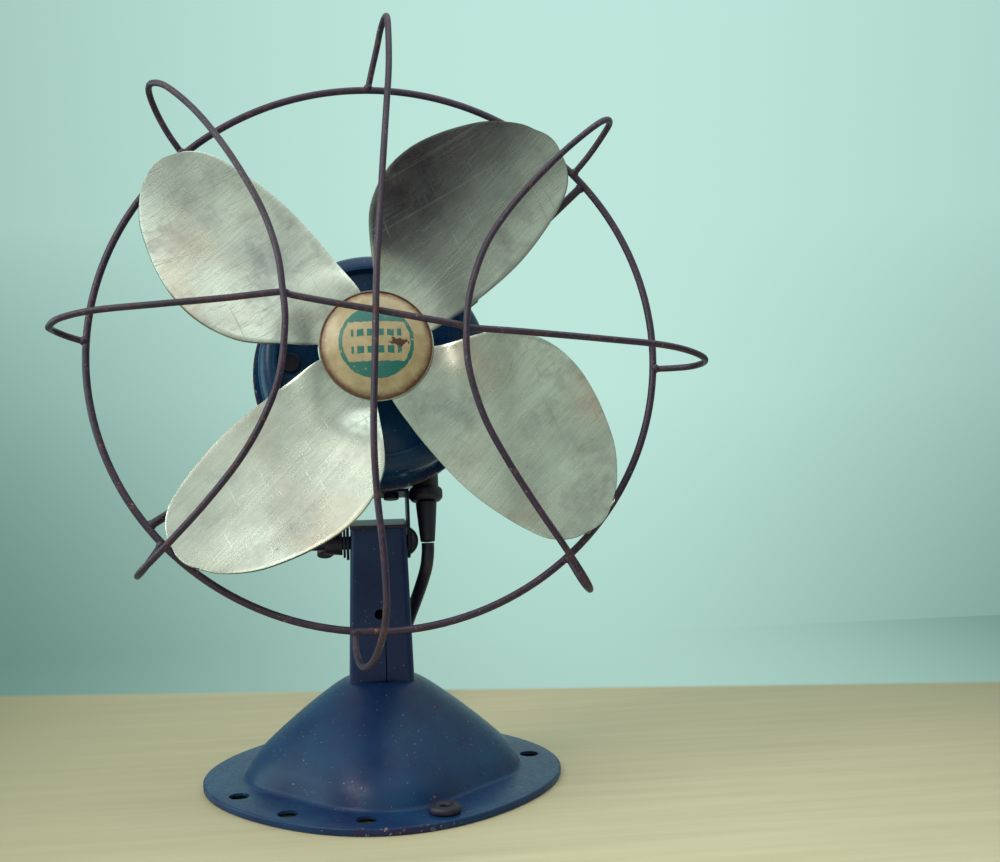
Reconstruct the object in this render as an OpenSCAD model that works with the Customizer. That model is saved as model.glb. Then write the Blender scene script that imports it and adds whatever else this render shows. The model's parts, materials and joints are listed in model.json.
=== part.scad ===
// Vintage 8-inch desk fan: stamped base and post, tilting motor head,
// four-blade stamped spider and a bent-wire guard. Millimetres, +Z up.
// The origin is the centre of the base's underside, and the fan faces -Y.

/* [Stand] */
// Mean radius of the base plate
base_r = 66.3; // [62:0.1:72]
// Mean radius of the dome where it meets the plate
dome_r = 50; // [47:0.1:53]
// Thickness of the stamped base sheet
base_sheet = 1; // [0.8:0.1:1.4]
// Width of the post at its foot
post_w_low = 24.8; // [23:0.1:25]
// Width of the post at its top
post_w_top = 20.6; // [19:0.1:20.6]
// Depth of the post, front to back
post_deep = 19; // [16:0.5:20]
// Height of the tilt bolt above the table
pivot_z = 90; // [86:0.5:94]

/* [Head] */
// Angle of the motor axis above level, at rest
head_tilt = 16.5; // [0:0.5:30]
// Distance from the tilt bolt up to the motor axis
axis_up = 61.5; // [61:0.5:64]
// Distance from the tilt bolt forward to the guard ring
ring_ahead = 49.5; // [48:0.5:51]

/* [Guard] */
// Radius of the guard ring, to the middle of its wire
ring_r = 100; // [100:0.5:102]
// Diameter of the ring wire
ring_wire = 2.6; // [2.4:0.1:3]
// Diameter of the cage wires
cage_wire = 2.3; // [2.1:0.1:2.5]
// Diameter of the four stays that carry the ring
stay_wire = 3; // [2.8:0.1:3.2]

/* [Blades] */
// Radius at the blade tips
blade_r = 101; // [96:0.5:101]
// Thickness of the blade sheet
blade_sheet = 0.9; // [0.7:0.1:1.2]
// Rise across a blade for each millimetre of its width
blade_pitch = 0.24; // [0.1:0.01:0.3]
// Turn of the blades at rest
blade_turn = 5; // [0:1:89]

/* [Motor] */
// Outer radius of the motor shell
shell_r = 42.5; // [42:0.1:42.5]
// Thickness of the motor shell
shell_wall = 1.1; // [0.9:0.1:1.2]
// Diameter of the shaft
shaft_d = 6.4; // [6:0.1:6.4]
// Radius of the rotor
rotor_r = 15; // [13:0.5:15]

/* [Cord] */
// Diameter of the cord
cord_d = 4.8; // [4.6:0.1:4.8]

/* [Hidden] */
$fn = 64;

fit = 0.05;              // radial clearance of a running fit
gap = 0.3;               // clearance between parts that move past each other
plate_z = 2.8;           // top of the base plate
rivet_z = 31.6;
post_low_z = 29;
post_top_z = 96;
bolt_r = 2.5;
arm_in = 11;           // inner face of the bracket arms
arm_sheet = 1;
motor_in = shell_r - shell_wall;
split_w = -33.4;         // where the two halves of the motor shell meet
core_back = -47;
core_front = -27;
pole_angles = [45, 135, 225, 315];
stay_angles = [38, 142, 218, 322];
hub_face = 2.6;          // back face of the blade sheet at the hub
shaft_r = shaft_d / 2;

// ---- vectors, curves and tubes ----
function unit(v) = v / norm(v);
function wrap(i, n) = (i + n) % n;
function tangent(p, i) = unit(p[min(i + 1, len(p) - 1)] - p[max(i - 1, 0)]);
function square_to(n, t) = unit(n - (n * t) * t);
function first_normal(t) = square_to(abs(t[0]) < 0.8 ? [1, 0, 0] : [0, 1, 0], t);
function normals(p, i = 0, n = undef) =
    i == len(p) ? [] :
    let (m = square_to(i == 0 ? first_normal(tangent(p, 0)) : n, tangent(p, i)))
    concat([m], normals(p, i + 1, m));
function circle_at(c, t, n, r, sides) =
    [for (k = [0:sides - 1]) c + r * (cos(360 * k / sides) * n + sin(360 * k / sides) * cross(t, n))];
function spline_point(a, b, c, d, t) =
    0.5 * (2 * b + (c - a) * t + (2 * a - 5 * b + 4 * c - d) * t * t
           + (3 * b - a - 3 * c + d) * t * t * t);
function spline(p, steps) = concat(
    [for (i = [0:len(p) - 2]) for (k = [0:steps - 1])
        spline_point(p[max(i - 1, 0)], p[i], p[i + 1], p[min(i + 2, len(p) - 1)], k / steps)],
    [p[len(p) - 1]]);
function arc(cx, cy, r, from, to, steps = 8) =
    [for (k = [0:steps]) let (a = from + (to - from) * k / steps) [cx + r * cos(a), cy + r * sin(a)]];
function lobed(r, k, a) = r * (1 + k * cos(4 * a));
function ease(x) = let (t = min(1, max(0, x))) t * t * (3 - 2 * t);

module skin(rings, looped = false) {
    sides = len(rings[0]);
    n = len(rings);
    last = looped ? n - 1 : n - 2;
    walls = [for (i = [0:last]) for (k = [0:sides - 1])
        let (a = i * sides + k, b = i * sides + (k + 1) % sides,
             c = ((i + 1) % n) * sides + k, d = ((i + 1) % n) * sides + (k + 1) % sides)
        each [[a, c, b], [b, c, d]]];
    ends = looped ? [] : [[for (k = [0:sides - 1]) k], [for (k = [sides - 1:-1:0]) (n - 1) * sides + k]];
    polyhedron([for (ring = rings) each ring], concat(walls, ends));
}

module tube(path, r, sides) {
    n = normals(path);
    skin([for (i = [0:len(path) - 1]) circle_at(path[i], tangent(path, i), n[i], r, sides)]);
}

module rounded(w, d, r) {
    for (x = [-1, 1]) for (y = [-1, 1])
        translate([x * (w / 2 - r), y * (d / 2 - r), 0]) cylinder(r = r, h = 0.02, $fn = 32);
}

// ---- frames ----
// The head's own frame: its origin is on the tilt bolt, and at no tilt it faces -Y.
module head() { translate([0, 0, pivot_z]) rotate([-head_tilt, 0, 0]) children(); }
// The motor frame: +Z forward along the motor axis, +Y up, origin at the guard ring's centre.
module motor() { head() translate([0, -ring_ahead, axis_up]) rotate([90, 0, 0]) children(); }

// ---- stand ----
dome_profile = [[52.6, 2], [51.6, 5], [48.6, 10], [43.6, 15.2], [36, 21.8], [28.4, 28], [21, 33.4],
                [17, 36.2], [13.8, 38], [10, 38.8]];
dome_turns = 48;
// Each radius in the profile is the one at the rounded corners, and the flats between stand further in.
function dome_ring(r, z, lobe) =
    [for (i = [0:dome_turns - 1]) let (a = 360 * i / dome_turns, q = lobed(r / (1 + lobe), lobe, a)) [q * cos(a), q * sin(a), z]];
function dome_lobe(z) = 0.075 * (1 - ease((z - 2) / 36));
function plate_outline(inset) =
    [for (i = [0:71]) let (a = 5 * i, r = lobed(base_r, 0.022, a) - inset) [r * cos(a), r * sin(a)]];
hole_angles = [-156, -127, -98, -71, 9, 109];
hole_out = 58;           // from the middle to each foot hole
foot_angles = [-71, 109];

module base_shell() {
    scale_r = dome_r / 50;
    outer = [for (p = dome_profile) dome_ring(p[0] * scale_r, p[1], dome_lobe(p[1]))];
    inner = [for (i = [len(dome_profile) - 1:-1:0]) let (p = dome_profile[i])
        dome_ring((p[0] - 1.1) * scale_r - (i > 7 ? 0.6 : 0), p[1] - (i == 0 ? -0.1 : 1.1), dome_lobe(p[1]))];
    color("#1f5a76") difference() {
        union() {
            skin(concat(outer, inner), looped = true);
            translate([0, 0, plate_z - base_sheet]) linear_extrude(base_sheet) difference() {
                polygon(plate_outline(0));
                polygon([for (p = dome_ring(51 * scale_r, 0, 0.075)) [p[0], p[1]]]);
            }
            linear_extrude(plate_z - base_sheet / 2) difference() {
                polygon(plate_outline(0));
                polygon(plate_outline(1.1));
            }
        }
        for (a = hole_angles) rotate(a) translate([hole_out, 0, -1]) cylinder(d = 7.4, h = 6);
        translate([0, 0, 30]) linear_extrude(12) square([post_w_low + 0.4, post_deep + 0.5], center = true);
    }
}

module foot_grommets() {
    color("#16161c") for (a = foot_angles) rotate(a) translate([hole_out, 0, 0])
        rotate_extrude() polygon([[1.9, 0.1], [4.3, 0.1], [4.7, 0.5], [4.7, 1.75], [3.65, 1.75], [3.65, 2.85],
                                  [5.2, 2.85], [5.6, 3.4], [5.6, 4.6], [4.9, 5.6], [2.8, 5.7], [1.9, 5]]);
}

module post_block(grow, low, top) {
    slope = (post_w_low - post_w_top) / (post_top_z - post_low_z);
    hull() {
        translate([0, 0, low]) rounded(post_w_low - slope * (low - post_low_z) + grow, post_deep + grow, 2.6 + grow / 2);
        translate([0, 0, top]) rounded(post_w_low - slope * (top - post_low_z) + grow, post_deep + grow, 2.6 + grow / 2);
    }
}

module post_tube() {
    color("#2a6b88") difference() {
        post_block(0, post_low_z, post_top_z);
        post_block(-2, post_low_z - 1, post_top_z + 1);
        translate([1.6, -post_deep / 2, 0]) cube([0.35, 3, 220], center = true);
        translate([0, 0, pivot_z]) rotate([0, 90, 0]) cylinder(r = bolt_r + fit, h = 60, center = true);
        translate([0, 0, rivet_z]) rotate([0, 90, 0]) cylinder(r = 1.65, h = 60, center = true);
        translate([-0.4, 0, 64]) rotate([90, 0, 0]) cylinder(r = 1.9, h = 30);
    }
}

module post_cap() {
    inside_w = post_w_top - 2.4;
    color("#241d2c") {
        difference() {
            union() {
                translate([0, 0, post_top_z + 0.75]) cube([post_w_top + 0.8, post_deep + 1, 1.4], center = true);
                translate([0, 0, post_top_z - 1.4]) cube([inside_w, post_deep - 4, 3], center = true);
            }
            translate([0, 0, post_top_z - 3]) cylinder(r = 4, h = 3);
        }
    }
}

module post_foot() {
    color("#4c4a52") difference() {
        union() {
            translate([0, 0, 26.8]) cylinder(r = 23.6, h = 1.6);
            translate([0, 0, 33]) cube([post_w_low - 3.8, post_deep - 3, 9.4], center = true);
        }
        translate([0, 0, rivet_z]) rotate([0, 90, 0]) cylinder(r = 1.65, h = 60, center = true);
        translate([0, 0, 20]) cylinder(r = 6, h = 30);
    }
}

module foot_rivets() {
    color("#85858c") for (s = [-1, 1]) translate([0, 0, rivet_z]) rotate([0, 90 * s, 0]) {
        translate([0, 0, 6.6]) cylinder(r = 1.6, h = post_w_low / 2 - 6.5);
        translate([0, 0, post_w_low / 2]) cylinder(r = 3, h = 1.1);
    }
}

module pivot_bolt() {
    color("#2b2430") translate([0, 0, pivot_z]) rotate([0, 90, 0]) {
        translate([0, 0, -25]) cylinder(r = bolt_r, h = 25 + arm_in + arm_sheet + gap);
        translate([0, 0, arm_in + arm_sheet + gap])
            rotate_extrude() polygon(concat([[0, 0]], arc(0, -3.1, 6, 31, 90, 6)));
    }
}

module pivot_washer() {
    color("#57505c") translate([-arm_in - arm_sheet - gap - 0.9, 0, pivot_z]) rotate([0, 90, 0]) difference() {
        cylinder(r = 5.6, h = 0.9);
        translate([0, 0, -1]) cylinder(r = bolt_r + fit, h = 4);
    }
}

wing_turn = 57;
module wing_nut() {
    color("#2b2430") translate([-arm_in - arm_sheet - 2 * gap - 0.9, 0, pivot_z]) rotate([wing_turn, 0, 0]) rotate([0, -90, 0]) difference() {
        union() {
            cylinder(r1 = 4.6, r2 = 3.9, h = 6.6);
            for (s = [-1, 1]) scale_wing(s);
        }
        translate([0, 0, -1]) cylinder(r = bolt_r + fit, h = 20);
    }
}

module scale_wing(s) {
    translate([0, 0.9, 0]) rotate([90, 0, 0]) linear_extrude(1.8)
        polygon(concat([[s * 2.8, 0.6], [s * 6, 1.8]], arc(s * 8.2, 6.6, 3.1, s > 0 ? -40 : 220, s > 0 ? 150 : 30, 8),
                       [[s * 2.8, 6.4]]));
}

// ---- tilt bracket ----
web_top = axis_up - shell_r - 0.03;
bracket_deep = 13;
module tilt_bracket() {
    color("#20506a") head() difference() {
        union() {
            for (s = [-1, 1]) translate([s * (arm_in + arm_sheet / 2), 0, 0]) {
                rotate([0, 90, 0]) cylinder(r = bracket_deep / 2, h = arm_sheet, center = true);
                translate([0, 0, web_top / 2]) cube([arm_sheet, bracket_deep, web_top], center = true);
            }
            translate([0, 0, web_top - arm_sheet / 2])
                cube([2 * (arm_in + arm_sheet), bracket_deep, arm_sheet], center = true);
        }
        rotate([0, 90, 0]) cylinder(r = bolt_r + fit, h = 60, center = true);
        for (s = [-1, 1]) translate([s * 5.5, 0, 0]) cylinder(r = 1.6, h = 40);
    }
}

module bracket_screws() {
    color("#6a6670") head() for (s = [-1, 1]) translate([s * 5.5, 0, 0]) {
        translate([0, 0, web_top - arm_sheet - 1.85]) cylinder(r = 2.9, h = 1.8);
        translate([0, 0, web_top - arm_sheet - 0.1]) cylinder(r = 1.55, h = 5.6);
    }
}

// ---- motor ----
module front_bell() {
    r = shell_r;
    t = shell_wall;
    outer = concat([[r + 2.5, split_w], [r + 2.5, split_w + 1.2], [r, split_w + 1.2]],
                   arc(r - 6, -22, 6, 0, 90), [[r - 6, -14.6], [r - 7.1, -14.6], [r - 8.1, -17.5],
                   [12, -17.5], [12, -13.5], [7, -13.5]]);
    inner = concat([[7, -23], [10.5, -23], [10.5, -18.6], [r - 9, -18.6], [r - 6.9, -17.1]],
                   arc(r - 6, -22, 6 - t, 90, 0), [[r - t, split_w]]);
    color("#24657f") motor() difference() {
        rotate_extrude($fn = 96) polygon(concat(outer, inner));
        for (s = [-1, 1]) translate([30.5 * s, 0, -20]) cylinder(r = 2.1, h = 5);
        for (a = stay_angles) rotate(a) translate([0, 0, -27]) rotate([0, 90, 0]) cylinder(r = 1.35, h = 60);
    }
}

module rear_cover() {
    r = shell_r;
    t = shell_wall;
    outer = concat([[r - t, split_w - 0.1], [r - t, -54]], arc(r - 8, -54, 8 - t, 0, -90),
                   [[9.5, -62 + t], [9.5, -51], [7, -51], [7, -63.8], [0, -63.8]]);
    inner = concat([[0, -65], [10.6, -65], [11.6, -64], [11.6, -62]], arc(r - 8, -54, 8, -90, 0),
                   [[r, split_w - 1.3], [r + 2.5, split_w - 1.3], [r + 2.5, split_w - 0.1]]);
    color("#24657f") motor() difference() {
        rotate_extrude($fn = 96) polygon(concat(outer, inner));
        for (s = [-1, 1]) translate([30.5 * s, 0, -66]) cylinder(r = 2.1, h = 10);
        for (a = [20:20:160]) rotate(a) translate([24, 0, -64]) cylinder(r = 2.6, h = 5);
        for (s = [-1, 1]) translate([s * 5.5, 0, -ring_ahead]) rotate([90, 0, 0]) cylinder(r = 1.6, h = 60);
        translate([bushing_u, 0, bushing_w]) rotate([90, 0, 0]) cylinder(r = 5.1, h = 60);
    }
}

module through_bolts() {
    color("#7b7781") motor() for (s = [-1, 1]) translate([30.5 * s, 0, 0]) {
        translate([0, 0, -67]) cylinder(r = 1.95, h = 49.6);
        translate([0, 0, -17.45]) cylinder(r = 3.6, h = 2.3);
    }
}

module bolt_nuts() {
    color("#7b7781") motor() for (s = [-1, 1]) translate([30.5 * s, 0, -65.3]) difference() {
        cylinder(r = 4, h = 3.2, $fn = 6);
        translate([0, 0, -1]) cylinder(r = 1.98, h = 6);
    }
}

module stator_core() {
    color("#5b5f66") motor() translate([0, 0, core_back]) difference() {
        linear_extrude(core_front - core_back) difference() {
            union() {
                difference() {
                    circle(r = motor_in - 0.05, $fn = 96);
                    circle(r = 33, $fn = 96);
                }
                for (a = pole_angles) rotate(a) translate([26, 0]) square([16, 14], center = true);
                for (a = pole_angles) rotate(a) intersection() {
                    circle(r = 20.5, $fn = 96);
                    polygon([[8, 0], [24, -16], [24, 16]]);
                }
            }
            circle(r = rotor_r + 0.4, $fn = 96);
        }
        translate([bushing_u - 7.5, -45, -2]) cube([15, 11.5, 10.6]);
        for (a = pole_angles) rotate(a) translate([10, 6, -1]) cube([8.4, 1.7, 40]);
    }
}

module field_coils() {
    color("#8a3f22") motor() translate([0, 0, (core_back + core_front) / 2]) for (a = pole_angles)
        rotate(a) translate([21.2, 0, 0]) rotate([0, 90, 0]) linear_extrude(9) difference() {
            square([31, 23], center = true);
            square([20.4, 14.4], center = true);
        }
}

module shading_rings() {
    long = core_front - core_back;
    color("#b06a3c") motor() translate([0, 0, core_back - 1.6]) for (a = pole_angles)
        rotate(a) translate([16.5, 6.1, 0]) difference() {
            cube([1.8, 6.6, long + 3.2]);
            translate([-1, 1.5, 1.5]) cube([4, 9, long + 0.2]);
        }
}

module bearing(from, to) {
    translate([0, 0, from]) difference() {
        cylinder(r = 6.97, h = to - from);
        translate([0, 0, -1]) cylinder(r = shaft_r + fit, h = to - from + 2);
    }
}
module front_bearing() { color("#9a6b3a") motor() bearing(-23, -14); }
module rear_bearing() { color("#9a6b3a") motor() bearing(-63.5, -52); }

module oil_felts() {
    color("#b9a98a") motor() for (z = [-25.1, -50.9]) translate([0, 0, z]) difference() {
        cylinder(r = 9, h = 1.9);
        translate([0, 0, -1]) cylinder(r = shaft_r + gap, h = 4);
    }
}

// ---- cord outlet ----
bushing_u = 18.8;
bushing_w = -50;
module outlet() { motor() translate([bushing_u, 0, bushing_w]) rotate([90, 0, 0]) children(); }
module cord_bushing() {
    color("#1c1822") outlet() difference() {
        union() {
            translate([0, 0, 35.2]) cylinder(r = 5.05, h = 6.4);
            translate([0, 0, 41.2]) rotate_extrude() polygon([[0, 0], [5.7, 0], [6.5, 0.9], [6.5, 3.8], [5.4, 5.2], [0, 5.2]]);
        }
        translate([0, 0, 30]) cylinder(r = 3.2, h = 20);
    }
}

sleeve_top = 36;
sleeve_end = 62;
module cord_sleeve() {
    color("#131118") outlet() rotate_extrude()
        polygon([[0, sleeve_top], [3.15, sleeve_top], [3.15, 46.5], [4.1, 47], [3.9, 49.4], [2.8, sleeve_end],
                 [0, sleeve_end]]);
}

module lead_splices() {
    color("#d9d2bd") motor() for (x = [14, 20.5]) translate([x, -27.5, -60])
        cylinder(r1 = 2.6, r2 = 1.7, h = 6.5);
}

// ---- guard ----
module guard_ring() {
    color("#3a2230") motor() rotate_extrude($fn = 128) translate([ring_r, 0]) circle(d = ring_wire, $fn = 24);
}

// Each stay runs straight from its lug on the motor shell to the back of the ring.
lug_r = shell_r + 4.4;
lug_w = -27;
module guard_stays() {
    run = [ring_r - lug_r, 0 - lug_w];
    color("#3a2230") motor() for (a = stay_angles) rotate(a) translate([lug_r, 0, lug_w])
        rotate([0, 90 - atan2(run[1], run[0]), 0]) translate([0, 0, 3.2])
            cylinder(d = stay_wire, h = norm(run) - 4.2, $fn = 24);
}

module guard_lugs() {
    color("#2b1d28") motor() for (a = stay_angles) rotate(a) translate([0, 0, lug_w]) rotate([0, 90, 0]) {
        translate([0, 0, shell_r + 0.1]) cylinder(r = 4.4, h = 5.6);
        translate([0, 0, shell_r - 0.9]) cylinder(r = 1.3, h = 1.1);
    }
}

// The cage wires were bent by hand, so each one is a curve through its own bends.
// Every point is right, up and forward of the guard ring's centre.
upright_bends = [
    [0.5, 101, 0], [2, 107, 2], [4, 114, 6], [5.5, 119, 11], [7, 120, 18], [7.5, 114, 24], [7, 95, 29],
    [5.5, 78, 32], [2.5, 46, 36], [0, 18, 38.5], [-1.5, -10, 39.4], [-3, -40, 38.5], [-2.5, -60, 36],
    [-1, -78, 33], [-0.5, -94, 30], [-2, -104, 26], [-5, -111, 19], [-8, -112.5, 12], [-10, -108, 4.5],
    [-10.5, -100.5, 0]];
level_bends = [
    [-101, 4.5, 0], [-106, 5.5, 3], [-109.5, 5.8, 9], [-109, 4.5, 17], [-104, 5, 24], [-92, 6, 28.5],
    [-71, 6.6, 32], [-50, 7.6, 34], [-32, 9, 35.2], [-28, 7.8, 35.4], [-14, 4.6, 36], [0, 1.8, 36.2], [14, -1, 36],
    [26, -3.4, 35.7], [30, -4.6, 35.6], [44, -5.6, 34.6], [62, -7, 33], [80, -8.4, 31], [95, -9.6, 29],
    [105, -10.6, 25.5], [112.5, -11.6, 20], [115, -11.6, 13], [112.5, -11, 6], [107, -10.4, 2], [100.5, -10, 0]];
left_bends = [
    [-67.6, 75.2, 0], [-72, 81, 4], [-75.5, 87, 9], [-77, 91, 16], [-75, 91, 22], [-69.5, 87.5, 26],
    [-60.5, 78, 29], [-52, 66, 31.5], [-44, 52, 34], [-37, 37, 36], [-32.6, 22, 38], [-31, 9, 38.6],
    [-30.4, -3, 38.6], [-32.6, -20, 37.6], [-38, -34, 36], [-46, -47, 33.5], [-57, -60, 30.5], [-68, -71, 27],
    [-77, -78.5, 21], [-80, -80, 14], [-79, -76.5, 6], [-74.6, -68.2, 0]];
right_bends = [
    [76, 66.6, 0], [80.5, 71, 4], [84.5, 75.5, 9], [87, 78.5, 16], [84.5, 77, 22.5], [78.5, 72, 26.5],
    [67, 61.5, 29.5], [55.5, 49.5, 32], [45.5, 37.5, 34.5], [37, 24.5, 36.8], [31, 9, 38.6], [28.6, -5, 38.8],
    [28.8, -19, 38], [33, -35, 36.4], [40, -49, 34], [49, -64, 31.5], [57.5, -76.5, 28], [65, -87, 22],
    [68, -90.5, 15], [67, -86.5, 7], [64.2, -78, 0]];
module cage_wire_of(bends) { color("#3a2230") motor() tube(spline(bends, 3), cage_wire / 2, 10); }
module wire_upright() { cage_wire_of(upright_bends); }
module wire_level() { cage_wire_of(level_bends); }
module wire_left() { cage_wire_of(left_bends); }
module wire_right() { cage_wire_of(right_bends); }

// ---- rotor ----
module motor_shaft() {
    color("#a9abb0") motor() {
        translate([0, 0, -63]) cylinder(r = shaft_r, h = 69);
    }
}

module rotor_core() {
    color("#83878d") motor() difference() {
        union() {
            translate([0, 0, -46]) cylinder(r = rotor_r, h = 18);
            translate([0, 0, -47.5]) cylinder(r = rotor_r - 2, h = 21);
        }
        translate([0, 0, -50]) cylinder(r = shaft_r + 0.02, h = 30);
        for (a = [0:60:300]) rotate(a) translate([9, 0, -50]) cylinder(r = 1.6, h = 30);
    }
}

module thrust_washers() {
    color("#c7b27a") motor() for (z = [-26.4, -48.6]) translate([0, 0, z]) difference() {
        cylinder(r = 5.6, h = 1);
        translate([0, 0, -1]) cylinder(r = shaft_r + 0.02, h = 3);
    }
}

module hub_sleeve() {
    color("#8d8f94") motor() difference() {
        union() {
            translate([0, 0, -10]) cylinder(r = 7, h = 12);
            translate([0, 0, 0.5]) cylinder(r = 14, h = 2);
        }
        translate([0, 0, -11]) cylinder(r = shaft_r + 0.02, h = 20);
        for (a = [45:90:315]) rotate(a) translate([10.5, 0, 0]) cylinder(r = 1.45, h = 5);
        translate([0, 0, -5]) rotate([-90, 0, 0]) cylinder(r = 1.55, h = 20);
    }
}

module set_screw() {
    color("#4f4f55") motor() translate([0, shaft_r + 0.05, -5]) rotate([-90, 0, 0]) cylinder(r = 1.5, h = 5.4);
}

module spider_rivets() {
    color("#b4b4b2") motor() for (a = [45:90:315]) rotate(a) translate([10.5, 0, 0]) {
        translate([0, 0, 0.4]) cylinder(r = 1.4, h = 3.4);
        translate([0, 0, hub_face + blade_sheet + 0.03]) cylinder(r = 2.4, h = 0.9);
        translate([0, 0, -0.4]) cylinder(r = 2.3, h = 0.85);
    }
}

// Half outlines of a blade, as distance from the axis and angle from its middle line.
tip_share = blade_r / 101;
trailing = [[19, 38], [20.6, 38.5], [24, 39.5], [30, 41], [38, 42], [46, 41.5], [54, 38.5], [62, 34.2], [70, 28.6], [77, 23],
            [84, 17.4], [90, 12.8], [95, 8.6], [98.5, 5.2], [100.6, 1.8]];
leading = [[19, 37], [20.6, 36], [24, 33.5], [30, 29.5], [38, 26.2], [46, 23.8], [54, 21.8], [62, 19.8], [70, 17.6], [77, 15.7],
           [84, 13.8], [90, 12], [95, 9.8], [98.5, 7.2], [100.6, 4.4]];
cuts = 8;
function rise(r) = hub_face + 8.4 * pow(max(0, (r - 22) / 79), 1.8);
function sheet_w(r, a) = let (s = r * sin(a), grow = ease((r - 20) / 16))
    rise(r) + grow * (blade_pitch * s + 0.0034 * s * s);
function blade_row(i, lift) = [for (k = [0:cuts])
    let (r = trailing[i][0] * (trailing[i][0] > 30 ? tip_share : 1),
         a = -leading[i][1] + (leading[i][1] + trailing[i][1]) * k / cuts,
         bow = 1 - 0.012 * ease((r - 88) / 12) * pow(2 * k / cuts - 1, 2))
    [r * bow * cos(a), r * bow * sin(a), sheet_w(r, a) + lift]];
module blade() {
    front = [for (i = [0:len(leading) - 1]) blade_row(i, blade_sheet - (i == 0 ? 0.2 : 0))];
    back = [for (i = [0:len(leading) - 1]) blade_row(i, i == 0 ? 0.2 : 0)];
    skin([for (i = [0:len(leading) - 1]) concat(back[i], [for (k = [cuts:-1:0]) front[i][k]])]);
}
module blade_spider() {
    color("#b9bbb4") motor() difference() {
        union() {
            translate([0, 0, hub_face]) cylinder(r = 21.5, h = blade_sheet);
            for (a = [45:90:315]) rotate(a + blade_turn) blade();
        }
        translate([0, 0, -5]) cylinder(r = shaft_r + 0.1, h = 20);
        for (a = [45:90:315]) rotate(a) translate([10.5, 0, 0]) cylinder(r = 1.45, h = 6);
    }
}

cap_r = 19.8;
module hub_cap() {
    front = hub_face + blade_sheet + 0.05;
    dome = arc(0, front + 1.6 - 38.6, 42.4, 62.2, 90, 8);
    color("#d8cba0") motor() rotate_extrude() polygon(concat(
        [[cap_r - 0.8, front], [cap_r, front], [cap_r, front + 0.6]],
        dome, [for (i = [len(dome) - 1:-1:0]) dome[i] - [i == len(dome) - 1 ? 0 : 0.5, i == 0 ? 0.48 : 0.8]]));
}

// ---- cord ----
// The cord leaves the sleeve beside the tilt bolt, passes behind the post, lies down the
// back of the base and ends in a tied hank on the table, with the plug on top of it.
cord_way = [
    [18.8, 0.25, 88.9], [18.7, -0.2, 85], [18, 0.6, 79.5], [16.4, 4, 73], [14.4, 9, 66], [12, 13.6, 58.5],
    [9.6, 16.8, 51], [7.6, 18.8, 44.5], [6.4, 22.4, 38.2], [5.6, 26.8, 33.6], [5.1, 32, 29.3], [4.8, 37.9, 24.6],
    [4.6, 44.3, 18.9], [4.5, 49.5, 13.4], [4.3, 53.6, 9], [4.2, 58.5, 6.4], [4.1, 64, 5.7], [4, 69.5, 5.2],
    [4, 74.5, 3.9], [4, 80, 2.8], [3.8, 86.5, 2.5], [2.9, 94, 2.5], [0.8, 101, 2.5], [-1.4, 106.5, 2.5]];
tail_way = [[0, 168, 13.5], [0, 162, 18.5], [0, 156, 25], [0, 150, 29], [0, 145, 30.3], [0, 141.2, 30.5]];
hank_near = 104;
hank_long = 118;
loop_w = 5.75 * cord_d;
plug_y = 141;
// The hank lies in line with the post, a little askew to the base.
module storage() { rotate([0, 0, -1.8]) children(); }
module power_cord() { color("#17131c") tube(spline(cord_way, 2), cord_d / 2, 8); }
module plug_tail() { color("#17131c") storage() tube(spline(tail_way, 2), cord_d / 2, 8); }

module lobe(y, h) {
    translate([0, y, 0]) linear_extrude(h) {
        circle(d = loop_w);
        translate([-loop_w / 2, 0]) square([loop_w, 20]);
    }
}
module cord_hank() {
    waist_z = 0.9;
    color("#17131c") storage() union() {
        lobe(hank_near + loop_w / 2, 5 * cord_d);
        translate([0, 2 * hank_near + hank_long, 0]) mirror([0, 1, 0]) lobe(hank_near + loop_w / 2, 5 * cord_d);
        translate([-9.7, hank_near + 28, waist_z]) cube([19.4, hank_long - 56, 14.4]);
    }
}

module hank_tie() {
    color("#2c2c30") storage() translate([0, hank_near + hank_long / 2 - 8, 8.1]) rotate([90, 0, 0])
        linear_extrude(5, center = true) difference() {
            square([21, 16], center = true);
            square([19.5, 14.5], center = true);
        }
}

plug_z = 30.5;
module plug_body() {
    color("#1a1512") storage() translate([0, plug_y, plug_z]) rotate([90, 0, 0]) difference() {
        union() {
            cylinder(r1 = 4.2, r2 = 6.2, h = 8);
            translate([0, 0, 6]) intersection() {
                cylinder(r = 12.6, h = 17);
                translate([-13, -6.4, 0]) cube([26, 12.8, 17]);
            }
        }
        for (s = [-1, 1]) translate([s * 6.35 - 0.8, -3.2, 14]) cube([1.6, 6.4, 10]);
    }
}

module plug_blades() {
    color("#b3925a") storage() for (s = [-1, 1]) translate([s * 6.35 - 0.75, plug_y - 38.8, plug_z - 3.15]) difference() {
        cube([1.5, 24.5, 6.3]);
        translate([-1, 4.5, 3.15]) rotate([0, 90, 0]) cylinder(r = 1.5, h = 4);
    }
}

base_shell();
foot_grommets();
post_tube();
post_cap();
post_foot();
foot_rivets();
pivot_bolt();
pivot_washer();
wing_nut();
tilt_bracket();
bracket_screws();
rear_cover();
front_bell();
through_bolts();
bolt_nuts();
stator_core();
field_coils();
shading_rings();
front_bearing();
rear_bearing();
oil_felts();
cord_bushing();
cord_sleeve();
lead_splices();
guard_ring();
guard_stays();
guard_lugs();
wire_upright();
wire_level();
wire_left();
wire_right();
motor_shaft();
rotor_core();
thrust_washers();
hub_sleeve();
set_screw();
blade_spider();
spider_rivets();
hub_cap();
power_cord();
cord_hank();
hank_tie();
plug_tail();
plug_body();
plug_blades();
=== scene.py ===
import json
from math import cos, pi, radians, sin

import bmesh
import bpy
from bpy.props import FloatProperty, FloatVectorProperty, IntProperty, PointerProperty
from mathutils import Matrix, Vector


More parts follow.
